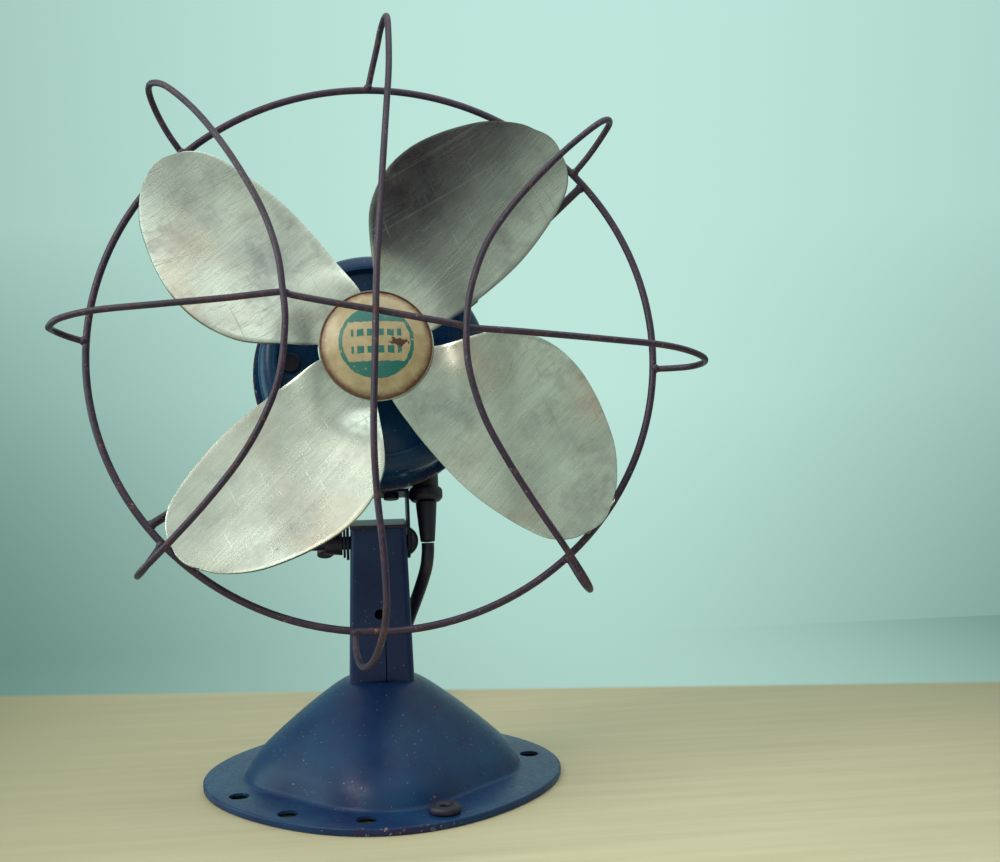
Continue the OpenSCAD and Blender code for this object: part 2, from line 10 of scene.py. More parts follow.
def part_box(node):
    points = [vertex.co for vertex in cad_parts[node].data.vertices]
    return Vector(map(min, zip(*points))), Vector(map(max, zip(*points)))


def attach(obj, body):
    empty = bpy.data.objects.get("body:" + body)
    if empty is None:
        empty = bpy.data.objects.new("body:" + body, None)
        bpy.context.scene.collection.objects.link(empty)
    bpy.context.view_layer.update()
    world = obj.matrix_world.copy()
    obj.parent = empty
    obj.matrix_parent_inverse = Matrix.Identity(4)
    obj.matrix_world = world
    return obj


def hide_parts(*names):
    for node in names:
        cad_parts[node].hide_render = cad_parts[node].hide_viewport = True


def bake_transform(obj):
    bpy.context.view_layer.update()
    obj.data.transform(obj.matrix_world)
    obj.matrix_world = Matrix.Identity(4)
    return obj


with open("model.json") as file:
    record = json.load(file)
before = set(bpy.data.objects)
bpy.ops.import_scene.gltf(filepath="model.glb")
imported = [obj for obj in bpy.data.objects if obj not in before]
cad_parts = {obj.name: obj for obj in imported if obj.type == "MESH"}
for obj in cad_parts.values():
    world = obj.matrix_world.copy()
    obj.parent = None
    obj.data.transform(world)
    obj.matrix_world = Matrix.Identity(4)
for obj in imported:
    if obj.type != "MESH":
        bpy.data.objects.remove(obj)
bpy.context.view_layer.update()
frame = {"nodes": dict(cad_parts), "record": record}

bl_info = {
    "name": "Desk fan finish",
    "version": (1, 0, 0),
    "blender": (4, 5, 0),
    "location": "3D View > Sidebar > Desk fan",
    "description": "Builds the finished surfaces of a small vintage desk fan over its CAD frame",
    "category": "Add Mesh",
}

SPIN = next(j for j in frame["record"]["behaviour"]["joints"] if j["name"] == "fan_spin")


def axes_matrix(origin, x, y, z):
    """A frame from its origin and its three directions."""
    m = Matrix((x, y, z)).transposed().to_4x4()
    m.translation = origin
    return m


AHEAD = Vector(SPIN["axis"]).normalized()
# The motor's own frame: right, up and forward, from the middle of the guard ring.
MOTOR = axes_matrix(Vector(SPIN["pos_m"]), Vector((1, 0, 0)), AHEAD.cross(Vector((1, 0, 0))), AHEAD)


def mm(*v):
    """Millimetres to metres."""
    return Vector(v) / 1000


def ease(x):
    """0 below 0, 1 above 1, and smooth between."""
    t = min(1.0, max(0.0, x))
    return t * t * (3 - 2 * t)


def smooth_line(bends, steps):
    """The points of a smooth curve through the bends."""
    p = [Vector(b) for b in bends]
    line = []
    for i in range(len(p) - 1):
        a, b, c, d = p[max(i - 1, 0)], p[i], p[i + 1], p[min(i + 2, len(p) - 1)]
        for k in range(steps):
            t = k / steps
            line.append(0.5 * (2 * b + (c - a) * t + (2 * a - 5 * b + 4 * c - d) * t * t
                               + (3 * b - a - 3 * c + d) * t ** 3))
    return line + [p[-1]]


# ---- shapes ----
def keep(name, mesh, body, finish, nodes=(), sharp=32, bevel=0.0, segments=2):
    """Makes the object, gives it its finish and ties it to its CAD body, if it rides on one."""
    obj = bpy.data.objects.new(name, mesh)
    bpy.context.scene.collection.objects.link(obj)
    mesh.materials.append(finish_for(finish))
    mesh.shade_smooth()
    mesh.set_sharp_from_angle(angle=radians(sharp))
    if bevel:
        edge = obj.modifiers.new("rounded edges", "BEVEL")
        edge.width = bevel
        edge.segments = segments
        edge.limit_method = "ANGLE"
        edge.angle_limit = radians(35)
        edge.use_clamp_overlap = True
    if body:
        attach(obj, body)
    if nodes:
        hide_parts(*nodes)
    return obj


def mesh_of(bm, name, place=None, join=1e-6):
    """Turns a bmesh into a mesh with clean outward faces, in its place."""
    bmesh.ops.remove_doubles(bm, verts=bm.verts, dist=join)
    bmesh.ops.recalc_face_normals(bm, faces=bm.faces)
    if place:
        bmesh.ops.transform(bm, matrix=place, verts=bm.verts)
    mesh = bpy.data.meshes.new(name)
    bm.to_mesh(mesh)
    bm.free()
    return mesh


def lathe(bm, outline, steps=96):
    """Spins an outline of (radius, height) in millimetres about Z."""
    verts = [bm.verts.new((r / 1000, 0, z / 1000)) for r, z in outline]
    edges = [bm.edges.new(pair) for pair in zip(verts, verts[1:])]
    bmesh.ops.spin(bm, geom=verts + edges, cent=(0, 0, 0), axis=(0, 0, 1), dvec=(0, 0, 0),
                   angle=2 * pi, steps=steps, use_merge=True, use_duplicate=False)
    bmesh.ops.remove_doubles(bm, verts=bm.verts, dist=1e-6)


def turned(outline, name, place, steps=96):
    """A turned piece's mesh, spun about the frame's own Z."""
    bm = bmesh.new()
    lathe(bm, outline, steps)
    return mesh_of(bm, name, place)


def rounded_corners(outline, radius, steps=3):
    """The same outline with its corners rounded, in millimetres."""
    p = [Vector(q) for q in outline]
    out = [p[0]]
    for a, b, c in zip(p, p[1:], p[2:]):
        r = min(radius, (a - b).length * 0.45, (c - b).length * 0.45)
        start, stop = b + (a - b).normalized() * r, b + (c - b).normalized() * r
        for k in range(steps + 1):
            t = k / steps
            out.append((1 - t) ** 2 * start + 2 * t * (1 - t) * b + t * t * stop)
    return [tuple(q) for q in out + [p[-1]]]


def swept(name, line, radius, rounds=3):
    """A round wire's mesh along a line of points, with closed ends."""
    curve = bpy.data.curves.new(name, "CURVE")
    curve.dimensions = "3D"
    curve.bevel_depth = radius
    curve.bevel_resolution = rounds
    curve.use_fill_caps = True
    spline = curve.splines.new("POLY")
    spline.points.add(len(line) - 1)
    for point, place in zip(spline.points, line):
        point.co = (*place, 1)
    holder = bpy.data.objects.new(name, curve)
    bpy.context.scene.collection.objects.link(holder)
    bpy.context.view_layer.update()
    mesh = bpy.data.meshes.new_from_object(holder.evaluated_get(bpy.context.evaluated_depsgraph_get()))
    bpy.data.objects.remove(holder)
    bpy.data.curves.remove(curve)
    return mesh


def refined(node, name=None):
    """A copy of a CAD node's mesh, joined up and with its flat faces made whole."""
    bm = bmesh.new()
    bm.from_mesh(frame["nodes"][node].data)
    bmesh.ops.remove_doubles(bm, verts=bm.verts, dist=2e-6)
    bmesh.ops.dissolve_limit(bm, angle_limit=radians(0.4), verts=bm.verts, edges=bm.edges,
                             use_dissolve_boundaries=False, delimit=set())
    bmesh.ops.recalc_face_normals(bm, faces=bm.faces)
    mesh = bpy.data.meshes.new(name or node + "_finish")
    bm.to_mesh(mesh)
    bm.free()
    return mesh


# ---- finishes ----
def linear(code):
    """An sRGB hex colour as a linear one."""
    parts = [int(code[i:i + 2], 16) / 255 for i in (1, 3, 5)]
    return tuple(c / 12.92 if c <= 0.04045 else ((c + 0.055) / 1.055) ** 2.4 for c in parts) + (1.0,)


def add(tree, kind, settings=None, links=None):
    """Adds a node, sets its properties and inputs, and links its inputs."""
    node = tree.nodes.new("ShaderNode" + kind)
    for key, value in (settings or {}).items():
        if isinstance(key, int) or key in node.inputs:
            node.inputs[key].default_value = value
        else:
            setattr(node, key, value)
    for key, socket in (links or {}).items():
        tree.links.new(socket, node.inputs[key])
    return node


def blank(name, settings):
    """An empty material with its shader, and the object's own coordinates."""
    material = bpy.data.materials.new(name)
    material.use_nodes = True
    tree = material.node_tree
    tree.nodes.clear()
    shader = add(tree, "BsdfPrincipled", settings)
    add(tree, "OutputMaterial", links={"Surface": shader.outputs[0]})
    place = add(tree, "TexCoord").outputs["Object"]
    return material, tree, shader, place


def blended(tree, share, a, b, how="MIX"):
    """A colour between a and b, each a hex code or a socket, by the share socket."""
    node = add(tree, "Mix", {"data_type": "RGBA", "blend_type": how, "clamp_factor": True})
    for index, value in ((0, share), (6, a), (7, b)):
        if isinstance(value, str):
            node.inputs[index].default_value = linear(value)
        elif isinstance(value, float):
            node.inputs[index].default_value = value
        else:
            tree.links.new(value, node.inputs[index])
    return node.outputs[2]


def patches(tree, place, size_mm, low, high, detail=4.0, rough=0.6):
    """Irregular patches of about that size: 0 where the noise is under low, 1 over high."""
    noise = add(tree, "TexNoise", {"Scale": 1000 / size_mm, "Detail": detail, "Roughness": rough},
                {"Vector": place})
    ramp = add(tree, "MapRange", {"From Min": low, "From Max": high}, {"Value": noise.outputs[0]})
    return ramp.outputs[0]


def motor_place(tree, place):
    """The motor's own right, up and forward, in metres, from the object's coordinates."""
    back = MOTOR.inverted()
    node = add(tree, "Mapping", {"Location": back.translation, "Rotation": back.to_euler()},
               {"Vector": place})
    return node.outputs[0]


def bumped(tree, shader, height, distance, strength=1.0):
    """Gives the shader its fine relief."""
    bump = add(tree, "Bump", {"Distance": distance, "Strength": strength}, {"Height": height})
    tree.links.new(bump.outputs[0], shader.inputs["Normal"])


def work(tree, how, a, b, clamp=False):
    """Arithmetic on sockets or numbers."""
    node = add(tree, "Math", {"operation": how, "use_clamp": clamp})
    for index, value in ((0, a), (1, b)):
        if isinstance(value, (int, float)):
            node.inputs[index].default_value = value
        else:
            tree.links.new(value, node.inputs[index])
    return node.outputs[0]


def times(tree, a, b):
    return work(tree, "MULTIPLY", a, b)


def plus(tree, a, b, clamp=False):
    return work(tree, "ADD", a, b, clamp)


def less(tree, a, b):
    return work(tree, "SUBTRACT", a, b)


def most(tree, a, b):
    return work(tree, "MAXIMUM", a, b)


def ranged(tree, value, low, high, to_low=0.0, to_high=1.0):
    """The value's place between low and high, held to the range from to_low to to_high."""
    return add(tree, "MapRange", {"From Min": low, "From Max": high, "To Min": to_low, "To Max": to_high},
               {"Value": value}).outputs[0]


def tinted(tree, tone, mask, strength, code):
    """The tone with a colour laid over it where the mask is set."""
    return blended(tree, times(tree, mask, strength), tone, code)


def rough_by(tree, shader, value, low, high):
    """Roughness between low and high, by a value from 0 to 1."""
    tree.links.new(ranged(tree, value, 0.0, 1.0, low, high), shader.inputs["Roughness"])


def baked_enamel(name, light, deep, bare="#6E5A52", worn=None, chips=0.66, rough=0.24):
    """Baked enamel over pressed steel: glossy, cloudy with age, with small chips down to brown steel."""
    material, tree, shader, place = blank(name, {"Coat Weight": 0.06, "Coat Roughness": 0.25, "IOR": 1.5,
                                                  "Specular IOR Level": 0.22})
    clouds = patches(tree, place, 26, 0.3, 0.72, 5.0)
    tone = blended(tree, clouds, deep, light)
    # Dust and grime, finer than a millimetre, dull the gloss.
    grime = patches(tree, place, 1.6, 0.42, 0.78, 6.0, 0.7)
    tone = tinted(tree, tone, grime, 0.35, "#2B2438")
    specks = patches(tree, place, 2.4, chips, chips + 0.035, 3.0, 0.55)
    mottled = patches(tree, place, 9, 0.55, 0.7, 4.0)
    specks = times(tree, specks, mottled)
    pale = patches(tree, place, 1.0, 0.76, 0.775, 1.0)
    tone = blended(tree, specks, tone, bare)
    tone = tinted(tree, tone, pale, 0.55, "#9DB9BC")
    edge = specks
    if worn:
        edge = most(tree, specks, worn(tree, place))
        tone = blended(tree, edge, tone, bare)
        fresh = patches(tree, place, 1.7, 0.6, 0.64, 2.0)
        tone = tinted(tree, tone, edge, times(tree, fresh, 0.7), "#A89C92")
    tree.links.new(tone, shader.inputs["Base Color"])
    dull = add(tree, "MapRange", {"To Min": rough, "To Max": rough + 0.2}, {"Value": grime})
    gloss = plus(tree, dull.outputs[0], times(tree, edge, 0.25), True)
    tree.links.new(gloss, shader.inputs["Roughness"])
    # The enamel stands 0.08 mm over the bare steel, with a faint orange peel.
    peel = patches(tree, place, 3.2, 0.3, 0.7, 2.0)
    height = less(tree, times(tree, peel, 0.25), edge)
    bumped(tree, shader, height, 0.00008, 0.6)
    return material


def worn_between(low_mm, high_mm, ragged, patch_mm=4.0, axis=None):
    """A wear mask that grows from low to high distance, from Z or from the motor axis."""
    def mask(tree, place):
        where = motor_place(tree, place) if axis == "motor" else place
        parts = add(tree, "SeparateXYZ", links={0: where})
        away = work(tree, "SQRT", plus(tree, times(tree, parts.outputs[0], parts.outputs[0]),
                                       times(tree, parts.outputs[1], parts.outputs[1])), 0)
        rise = add(tree, "MapRange", {"From Min": low_mm / 1000, "From Max": high_mm / 1000,
                                                "To Min": 0.0, "To Max": 0.62}, {"Value": away})
        torn = add(tree, "TexNoise", {"Scale": 1000 / patch_mm, "Detail": 5.0, "Roughness": 0.65},
                   {"Vector": place})
        total = plus(tree, rise.outputs[0], times(tree, torn.outputs[0], ragged))
        return ranged(tree, total, 0.72, 0.8)
    return mask


def painted_wire():
    """Drawn steel wire with thin old paint: purple-brown, gone to rust in spots, matt, slightly rough."""
    material, tree, shader, place = blank("painted_steel_wire",
                                          {"IOR": 1.5, "Coat Weight": 0.1, "Coat Roughness": 0.35})
    tone = blended(tree, patches(tree, place, 14, 0.35, 0.66), "#22122E", "#38203C")
    rust = patches(tree, place, 3.0, 0.56, 0.64, 6.0, 0.7)
    tone = tinted(tree, tone, rust, 0.75, "#6B3A30")
    bare = patches(tree, place, 1.3, 0.69, 0.71, 2.0)
    tone = tinted(tree, tone, bare, 0.6, "#9A8684")
    tree.links.new(tone, shader.inputs["Base Color"])
    rough_by(tree, shader, rust, 0.38, 0.72)
    grain = patches(tree, place, 0.9, 0.25, 0.8, 5.0, 0.7)
    bumped(tree, shader, plus(tree, grain, rust), 0.00012, 0.8)
    return material


def bare_aluminium():
    """Old rolled aluminium sheet: satin silver-grey, smudged dark by hands and dust, finely scratched, with painted
    shade on part of one blade.
    """
    material, tree, shader, place = blank("aluminium_tarnish_and_painted_shade", {"Metallic": 1.0})
    flat = motor_place(tree, place)
    clouds = patches(tree, place, 34, 0.32, 0.7, 4.0, 0.6)
    tone = blended(tree, clouds, "#A9B0A6", "#D0D8CB")
    smoke = patches(tree, place, 11, 0.5, 0.8, 6.0, 0.68)
    tone = tinted(tree, tone, smoke, 0.62, "#625C64")
    stains = patches(tree, place, 4.5, 0.66, 0.76, 5.0, 0.65)
    tone = tinted(tree, tone, stains, 0.4, "#57423C")
    warm = patches(tree, place, 48, 0.52, 0.7, 2.0)
    tone = tinted(tree, tone, warm, 0.35, "#B89A80")
    # Patches at fixed places on the blades, given as right and up in millimetres, size, colour and strength. The two
    # dark ones on the upper right blade, at (12, 58) and (46, 84), are painted shade where that blade faces away
    # from the light; the others are darker and warmer patches laid at fixed places.
    for u, v, size, code, strength in ((79, -22, 17, "#A2654A", 0.6), (76, -60, 16, "#4A464E", 0.6),
                                       (12, 58, 27, "#4A3A4C", 0.7), (46, 84, 20, "#3C3842", 0.45),
                                       (-38, 34, 17, "#62606C", 0.55), (26, -23, 15, "#676C74", 0.45),
                                       (-30, -62, 14, "#6B7078", 0.35), (-84, 62, 12, "#7C766E", 0.35)):
        near = add(tree, "Mapping", {"Location": (-u / 1000, -v / 1000, 0), "Scale": (1, 1, 0)}, {"Vector": flat})
        away = add(tree, "VectorMath", {"operation": "LENGTH"}, {0: near.outputs[0]}).outputs[1]
        share = ranged(tree, away, size / 1000, size / 5000, 0.0, strength)
        noise = add(tree, "TexNoise", {"Scale": 130.0, "Detail": 6.0, "Roughness": 0.65}, {"Vector": flat})
        torn = ranged(tree, noise.outputs[0], 0.35, 0.65, 0.25)
        tone = blended(tree, times(tree, share, torn), tone, code)
    # Rolling marks run across the sheet every 0.7 mm; a few cleaning scratches cross them.
    marks = []
    for turn, size, stretch, low, high in ((42, 0.8, 0.012, 0.35, 0.75), (58, 0.7, 0.008, 0.60, 0.68),
                                           (-24, 0.9, 0.02, 0.66, 0.71)):
        along = add(tree, "Mapping", {"Rotation": (0, 0, radians(turn))}, {"Vector": flat})
        drawn = add(tree, "Mapping", {"Scale": (1, stretch, 0.2)}, {"Vector": along.outputs[0]})
        marks.append(patches(tree, drawn.outputs[0], size, low, high, 2.0, 0.5))
    rolled, scratched = marks[0], most(tree, marks[1], marks[2])
    tone = tinted(tree, tone, rolled, 0.16, "#4B4744")
    tone = tinted(tree, tone, scratched, 0.14, "#433C3A")
    tree.links.new(tone, shader.inputs["Base Color"])
    haze = add(tree, "MapRange", {"To Min": 0.27, "To Max": 0.44}, {"Value": smoke})
    gloss = plus(tree, haze.outputs[0], times(tree, scratched, 0.1))
    tree.links.new(gloss, shader.inputs["Roughness"])
    bumped(tree, shader, less(tree, rolled, scratched), 0.00003, 0.35)
    return material


def cap_enamel():
    """Pressed cap with aged cream enamel and plain teal fields, worn to brown at its rim, with a dry gloss."""
    material, tree, shader, place = blank("aged_cream_enamel",
                                          {"Coat Weight": 0.2, "Coat Roughness": 0.25, "IOR": 1.5})
    spot = add(tree, "SeparateXYZ", links={0: motor_place(tree, place)})
    across, up = spot.outputs[0], spot.outputs[1]
    away = work(tree, "SQRT", plus(tree, times(tree, across, across),
                                   times(tree, up, up)), 0)
    edge_noise = add(tree, "TexNoise", {"Scale": 700.0, "Detail": 3.0}, {"Vector": place}).outputs[0]
    wobble = times(tree, less(tree, edge_noise, 0.5), 0.0009)
    near = plus(tree, away, wobble)
    tone = blended(tree, patches(tree, place, 6, 0.35, 0.7, 5.0), "#AA9670", "#C6B48E")
    height = work(tree, "ABSOLUTE", plus(tree, up, wobble), 0)
    inside = work(tree, "LESS_THAN", near, 0.0132)
    fields = times(tree, inside, work(tree, "GREATER_THAN", height, 0.0072))
    ring = times(tree, inside, work(tree, "GREATER_THAN", near, 0.0119))
    # Two rows of plain blocks stand in the middle band.
    bar = work(tree, "LESS_THAN", work(tree, "ABSOLUTE", less(tree, height, 0.0031), 0), 0.0013)
    bar = times(tree, bar, work(tree, "LESS_THAN", work(tree, "ABSOLUTE", across, 0), 0.0088))
    blocks = work(tree, "FRACT", times(tree, plus(tree, across, 0.05), 285.0), 0)
    bar = times(tree, bar, work(tree, "GREATER_THAN", blocks, 0.32))
    teal = most(tree, most(tree, fields, ring), bar)
    faded = less(tree, 1.0, patches(tree, place, 2.2, 0.6, 0.68, 5.0, 0.7))
    tone = tinted(tree, tone, teal, faded, "#237069")
    crazing = patches(tree, place, 1.2, 0.62, 0.68, 5.0, 0.75)
    tone = tinted(tree, tone, crazing, 0.55, "#8A6B46")
    scar_place = add(tree, "Mapping", {"Location": (-0.0065, 0.0008, 0), "Scale": (0.8, 1.5, 0)},
                     {"Vector": motor_place(tree, place)})
    scar_far = add(tree, "VectorMath", {"operation": "LENGTH"}, {0: scar_place.outputs[0]}).outputs[1]
    scar = add(tree, "MapRange", {"From Min": 0.0062, "From Max": 0.001, "To Max": 0.6},
               {"Value": scar_far})
    scar = plus(tree, scar.outputs[0], times(tree, edge_noise, 0.75))
    scar = ranged(tree, scar, 0.78, 0.86)
    tone = blended(tree, scar, tone, "#4A2F24")
    rim = add(tree, "MapRange", {"From Min": 0.0165, "From Max": 0.0200, "To Max": 0.7}, {"Value": away})
    torn = add(tree, "TexNoise", {"Scale": 330.0, "Detail": 6.0, "Roughness": 0.7}, {"Vector": place}).outputs[0]
    rim = plus(tree, rim.outputs[0], times(tree, torn, 0.8))
    rim = ranged(tree, rim, 0.55, 1.0)
    tone = blended(tree, rim, tone, "#6B4630")
    tree.links.new(tone, shader.inputs["Base Color"])
    rough_by(tree, shader, most(tree, rim, crazing), 0.36, 0.6)
    bumped(tree, shader, less(tree, 1.0, most(tree, most(tree, scar, crazing), rim)),
           0.00006, 0.6)
    return material


def dull_metal(name, light, deep, rust="#5A3A30", rough=0.42, rusty=0.62, metallic=1.0, grain_mm=1.2):
    """Plain machined or pressed metal, handled and aged: even grain, darker patches and a little rust."""
    material, tree, shader, place = blank(name, {"Metallic": metallic})
    tone = blended(tree, patches(tree, place, 7, 0.35, 0.68), deep, light)
    spots = patches(tree, place, 2.2, rusty, rusty + 0.08, 5.0, 0.65)
    tone = blended(tree, times(tree, spots, 0.7), tone, rust)
    tree.links.new(tone, shader.inputs["Base Color"])
    rough_by(tree, shader, spots, rough, min(rough + 0.25, 1.0))
    bumped(tree, shader, patches(tree, place, grain_mm, 0.2, 0.8, 3.0), 0.00005, 0.5)
    return material


def aged_rubber(name, light, deep, rough=0.62, grain_mm=0.7):
    """Black rubber gone matt with age, with a faint dusty bloom and fine crazing."""
    material, tree, shader, place = blank(name, {"IOR": 1.52})
    tone = blended(tree, patches(tree, place, 5, 0.35, 0.7, 5.0), deep, light)
    dust = patches(tree, place, 1.0, 0.58, 0.75, 4.0)
    tone = tinted(tree, tone, dust, 0.3, "#5B5560")
    tree.links.new(tone, shader.inputs["Base Color"])
    rough_by(tree, shader, dust, rough - 0.1, rough + 0.15)
    bumped(tree, shader, patches(tree, place, grain_mm, 0.3, 0.7, 3.0), 0.00008, 0.5)
    return material


def wound_copper():
    """Enamelled copper wire in even turns of 0.4 mm, under brown varnish."""
    material, tree, shader, place = blank("varnished_copper_winding", {"Metallic": 0.6, "Coat Weight": 0.5,
                                                                     "Coat Roughness": 0.3})
    turns = add(tree, "TexWave", {"Scale": 400.0, "Distortion": 0.6, "Detail": 2.0},
                {"Vector": motor_place(tree, place)}).outputs[1]
    tone = blended(tree, turns, "#4F1E10", "#A5502A")
    tone = tinted(tree, tone, patches(tree, place, 5, 0.5, 0.7), 0.5, "#3A1B12")
    tree.links.new(tone, shader.inputs["Base Color"])
    rough_by(tree, shader, turns, 0.55, 0.34)
    bumped(tree, shader, turns, 0.0001, 0.8)
    return material


def stacked_steel():
    """Silicon-steel sheets, 0.5 mm each, stacked and oiled: grey with fine dark lines."""
    material, tree, shader, place = blank("stacked_core_steel", {"Metallic": 1.0})
    along = add(tree, "SeparateXYZ", links={0: motor_place(tree, place)}).outputs[2]
    sheet = work(tree, "FRACT", times(tree, along, 2000.0), 0)
    line = work(tree, "LESS_THAN", sheet, 0.2)
    tone = blended(tree, patches(tree, place, 6, 0.3, 0.7), "#54565A", "#7C7E80")
    tone = tinted(tree, tone, line, 0.7, "#1C1A1E")
    tree.links.new(tone, shader.inputs["Base Color"])
    rough_by(tree, shader, line, 0.4, 0.7)
    bumped(tree, shader, less(tree, 1.0, line), 0.00005, 0.6)
    return material


def wool_felt():
    """Oil-soaked wool felt: brown-grey, fully matt, fuzzy at half a millimetre."""
    material, tree, shader, place = blank("oiled_wool_felt", {"Sheen Weight": 0.3, "Sheen Roughness": 0.5})
    fibre = patches(tree, place, 0.6, 0.3, 0.7, 5.0, 0.7)
    tree.links.new(blended(tree, fibre, "#6B5D45", "#B9A98A"), shader.inputs["Base Color"])
    rough_by(tree, shader, fibre, 0.8, 0.95)
    bumped(tree, shader, fibre, 0.0002, 0.8)
    return material


def moulded_plastic():
    """Off-white moulded splice caps: satin, a little yellowed."""
    material, tree, shader, place = blank("moulded_splice_plastic", {"IOR": 1.49})
    age = patches(tree, place, 4, 0.3, 0.7)
    tree.links.new(blended(tree, age, "#C9BF9E", "#DDD6C2"), shader.inputs["Base Color"])
    rough_by(tree, shader, age, 0.35, 0.5)
    bumped(tree, shader, patches(tree, place, 0.8, 0.3, 0.7), 0.00003, 0.4)
    return material


def wall_tone(tree, way):
    """The wall's colour in a direction: it falls off to both sides and downwards."""
    look = bpy.context.scene.desk_fan_stage
    spread = add(tree, "SeparateXYZ", links={0: way})
    side = less(tree, spread.outputs[0], 0.165)
    low = ranged(tree, spread.outputs[2], 0.1, -0.2, 2.1, 9.0)
    foot = ranged(tree, spread.outputs[2], -0.02, -0.24, 0.0, 0.24)
    share = plus(tree, times(tree, times(tree, side, side), low), foot)
    share = less(tree, 1.0, work(tree, "POWER", 0.3, share))
    node = add(tree, "Mix", {"data_type": "RGBA", 6: (*look.wall, 1.0), 7: linear("#4C7267")}, {0: share})
    return node.outputs[2]


# The far edge of the board: where it crosses the Y axis, and its slope across.
EDGE_Y, EDGE_SLOPE = 0.138, -0.152


def table_top():
    """Lacquered birch with a faint grain, with painted shade towards the sides and the back; past the board's far
    edge the floor is a painted glow in the wall's colour, though it is no lamp.
    """
    material, tree, shader, place = blank("lacquered_birch_and_painted_glow", {"IOR": 1.5, "Specular IOR Level": 0.3})
    spot = add(tree, "SeparateXYZ", links={0: place})
    across, along = spot.outputs[0], spot.outputs[1]
    drawn = add(tree, "Mapping", {"Scale": (0.05, 1, 1)}, {"Vector": place}).outputs[0]
    grain = patches(tree, drawn, 7, 0.3, 0.7, 6.0, 0.6)
    tone = blended(tree, grain, "#C9BE9C", "#DACFAE")
    # Painted shade: the board is made darker towards both sides and towards the back.
    side = less(tree, across, 0.07)
    painted_side_shade = times(tree, times(tree, side, side), 8.0)
    back = add(tree, "MapRange", {"From Min": -0.22, "From Max": 0.12, "To Max": 0.42}, {"Value": along})
    tone = blended(tree, plus(tree, painted_side_shade, back.outputs[0], True), tone, "#7E7A5E")
    tree.links.new(tone, shader.inputs["Base Color"])
    rough_by(tree, shader, grain, 0.55, 0.65)
    # The board's far edge, soft over 6 mm; past it the floor glows with the wall's colour, a painted glow.
    edge = less(tree, along, plus(tree, times(tree, across, EDGE_SLOPE), EDGE_Y))
    painted_glow_share = ranged(tree, edge, -0.003, 0.003)
    # The painted glow takes the wall's tone from a fixed slope across the floor, falling off to the sides and
    # downwards.
    slope = add(tree, "CombineXYZ", links={0: times(tree, across, 1.25),
                                                    2: times(tree, along, 0.264)}).outputs[0]
    way = add(tree, "Mapping", {"Location": (0.02, 0, -0.265)}, {"Vector": slope}).outputs[0]
    pale = add(tree, "Emission", {"Strength": 1.0}, {"Color": wall_tone(tree, way)})
    mixed = add(tree, "MixShader", links={0: painted_glow_share, 1: shader.outputs[0], 2: pale.outputs[0]})
    out = next(n for n in tree.nodes if n.bl_idname == "ShaderNodeOutputMaterial")
    tree.links.new(mixed.outputs[0], out.inputs[0])
    return material


FINISH = {}


def finish_for(key):
    """The material of that name, made once."""
    makers = {
        "wire": painted_wire,
        "blades": bare_aluminium,
        "cap": cap_enamel,
        "base": lambda: baked_enamel("base_enamel", "#11426A", "#0A2350", "#2C2548",
                                     worn_between(61.5, 69.5, 0.6, 3.0), 0.6, 0.34),
        "post": lambda: baked_enamel("post_enamel", "#13325F", "#0B1A4A", "#2A2144", None, 0.60, 0.3),
        "motor": lambda: baked_enamel("motor_enamel", "#12446C", "#0A2854", "#4A3540",
                                      worn_between(41.5, 46, 0.7, 3.0, "motor"), 0.64, 0.2),
        "bracket": lambda: baked_enamel("bracket_enamel", "#141C40", "#0D1030", "#2A2038", None, 0.58, 0.35),
        "dark_steel": lambda: dull_metal("darkened_steel", "#241C38", "#130E26", "#3A2230", 0.45, 0.6, 0.25),
        "steel": lambda: dull_metal("plated_steel", "#A9A9AC", "#77777C", "#6B4B3A", 0.32, 0.68),
        "bronze": lambda: dull_metal("sintered_bronze", "#A97B45", "#7A5328", "#3D2A18", 0.45, 0.64),
        "brass": lambda: dull_metal("aged_brass", "#BE9E5E", "#8B6C38", "#4D3A24", 0.32, 0.68),
        "copper": lambda: dull_metal("dulled_copper", "#B8704A", "#7E4127", "#3A2018", 0.4, 0.66),
        "core": stacked_steel,
        "winding": wound_copper,
        "felt": wool_felt,
        "plastic": moulded_plastic,
        "rubber": lambda: aged_rubber("moulded_rubber", "#1A1630", "#0F0C22"),
        "cord": lambda: aged_rubber("cord_rubber", "#1C1632", "#110D24", 0.55, 1.4),
        "plug": lambda: aged_rubber("plug_rubber", "#201A16", "#120E0C", 0.5),
        "table": table_top,
    }
    if key not in FINISH:
        FINISH[key] = makers[key]()
    return FINISH[key]


# ---- what a user would change ----
def colour(name, text, code):
    """A colour property, from its hex code."""
    return FloatVectorProperty(name=name, description=text, default=linear(code)[:3], subtype="COLOR", min=0, max=1)


def length(name, text, metres):
    """A length property."""
    return FloatProperty(name=name, description=text, default=metres, unit="LENGTH")


class DeskFanStage(bpy.types.PropertyGroup):
    """The camera, the light and the table."""
    lens: FloatProperty(name="Lens", description="Focal length in millimetres on a 36 mm sensor", default=49.18,
                        min=10.0, max=200.0)
    pitch: FloatProperty(name="Pitch", description="How far the camera looks down", default=radians(2.9),
                         subtype="ANGLE")
    turn: FloatProperty(name="Turn", description="How far the camera looks to the right", default=radians(7.0),
                        subtype="ANGLE")
    roll: FloatProperty(name="Roll", description="How far the camera leans", default=radians(-1.2), subtype="ANGLE")
    stand_off: FloatVectorProperty(name="Camera", description="The camera's place",
                                   default=(-0.0161, -0.5169, 0.1572), subtype="TRANSLATION")
    key_power: FloatProperty(name="Key light", description="Power of the window light", default=6.5, unit="POWER")
    wall: colour("Wall", "Colour behind the fan", "#BEE6DB")
    ceiling: colour("Ceiling", "Colour above the fan", "#EEF4EE")
    room: colour("Room", "Colour in front of the fan", "#CCDACF")
    dark: colour("Dark side", "Colour on the side away from the window", "#3E3444")


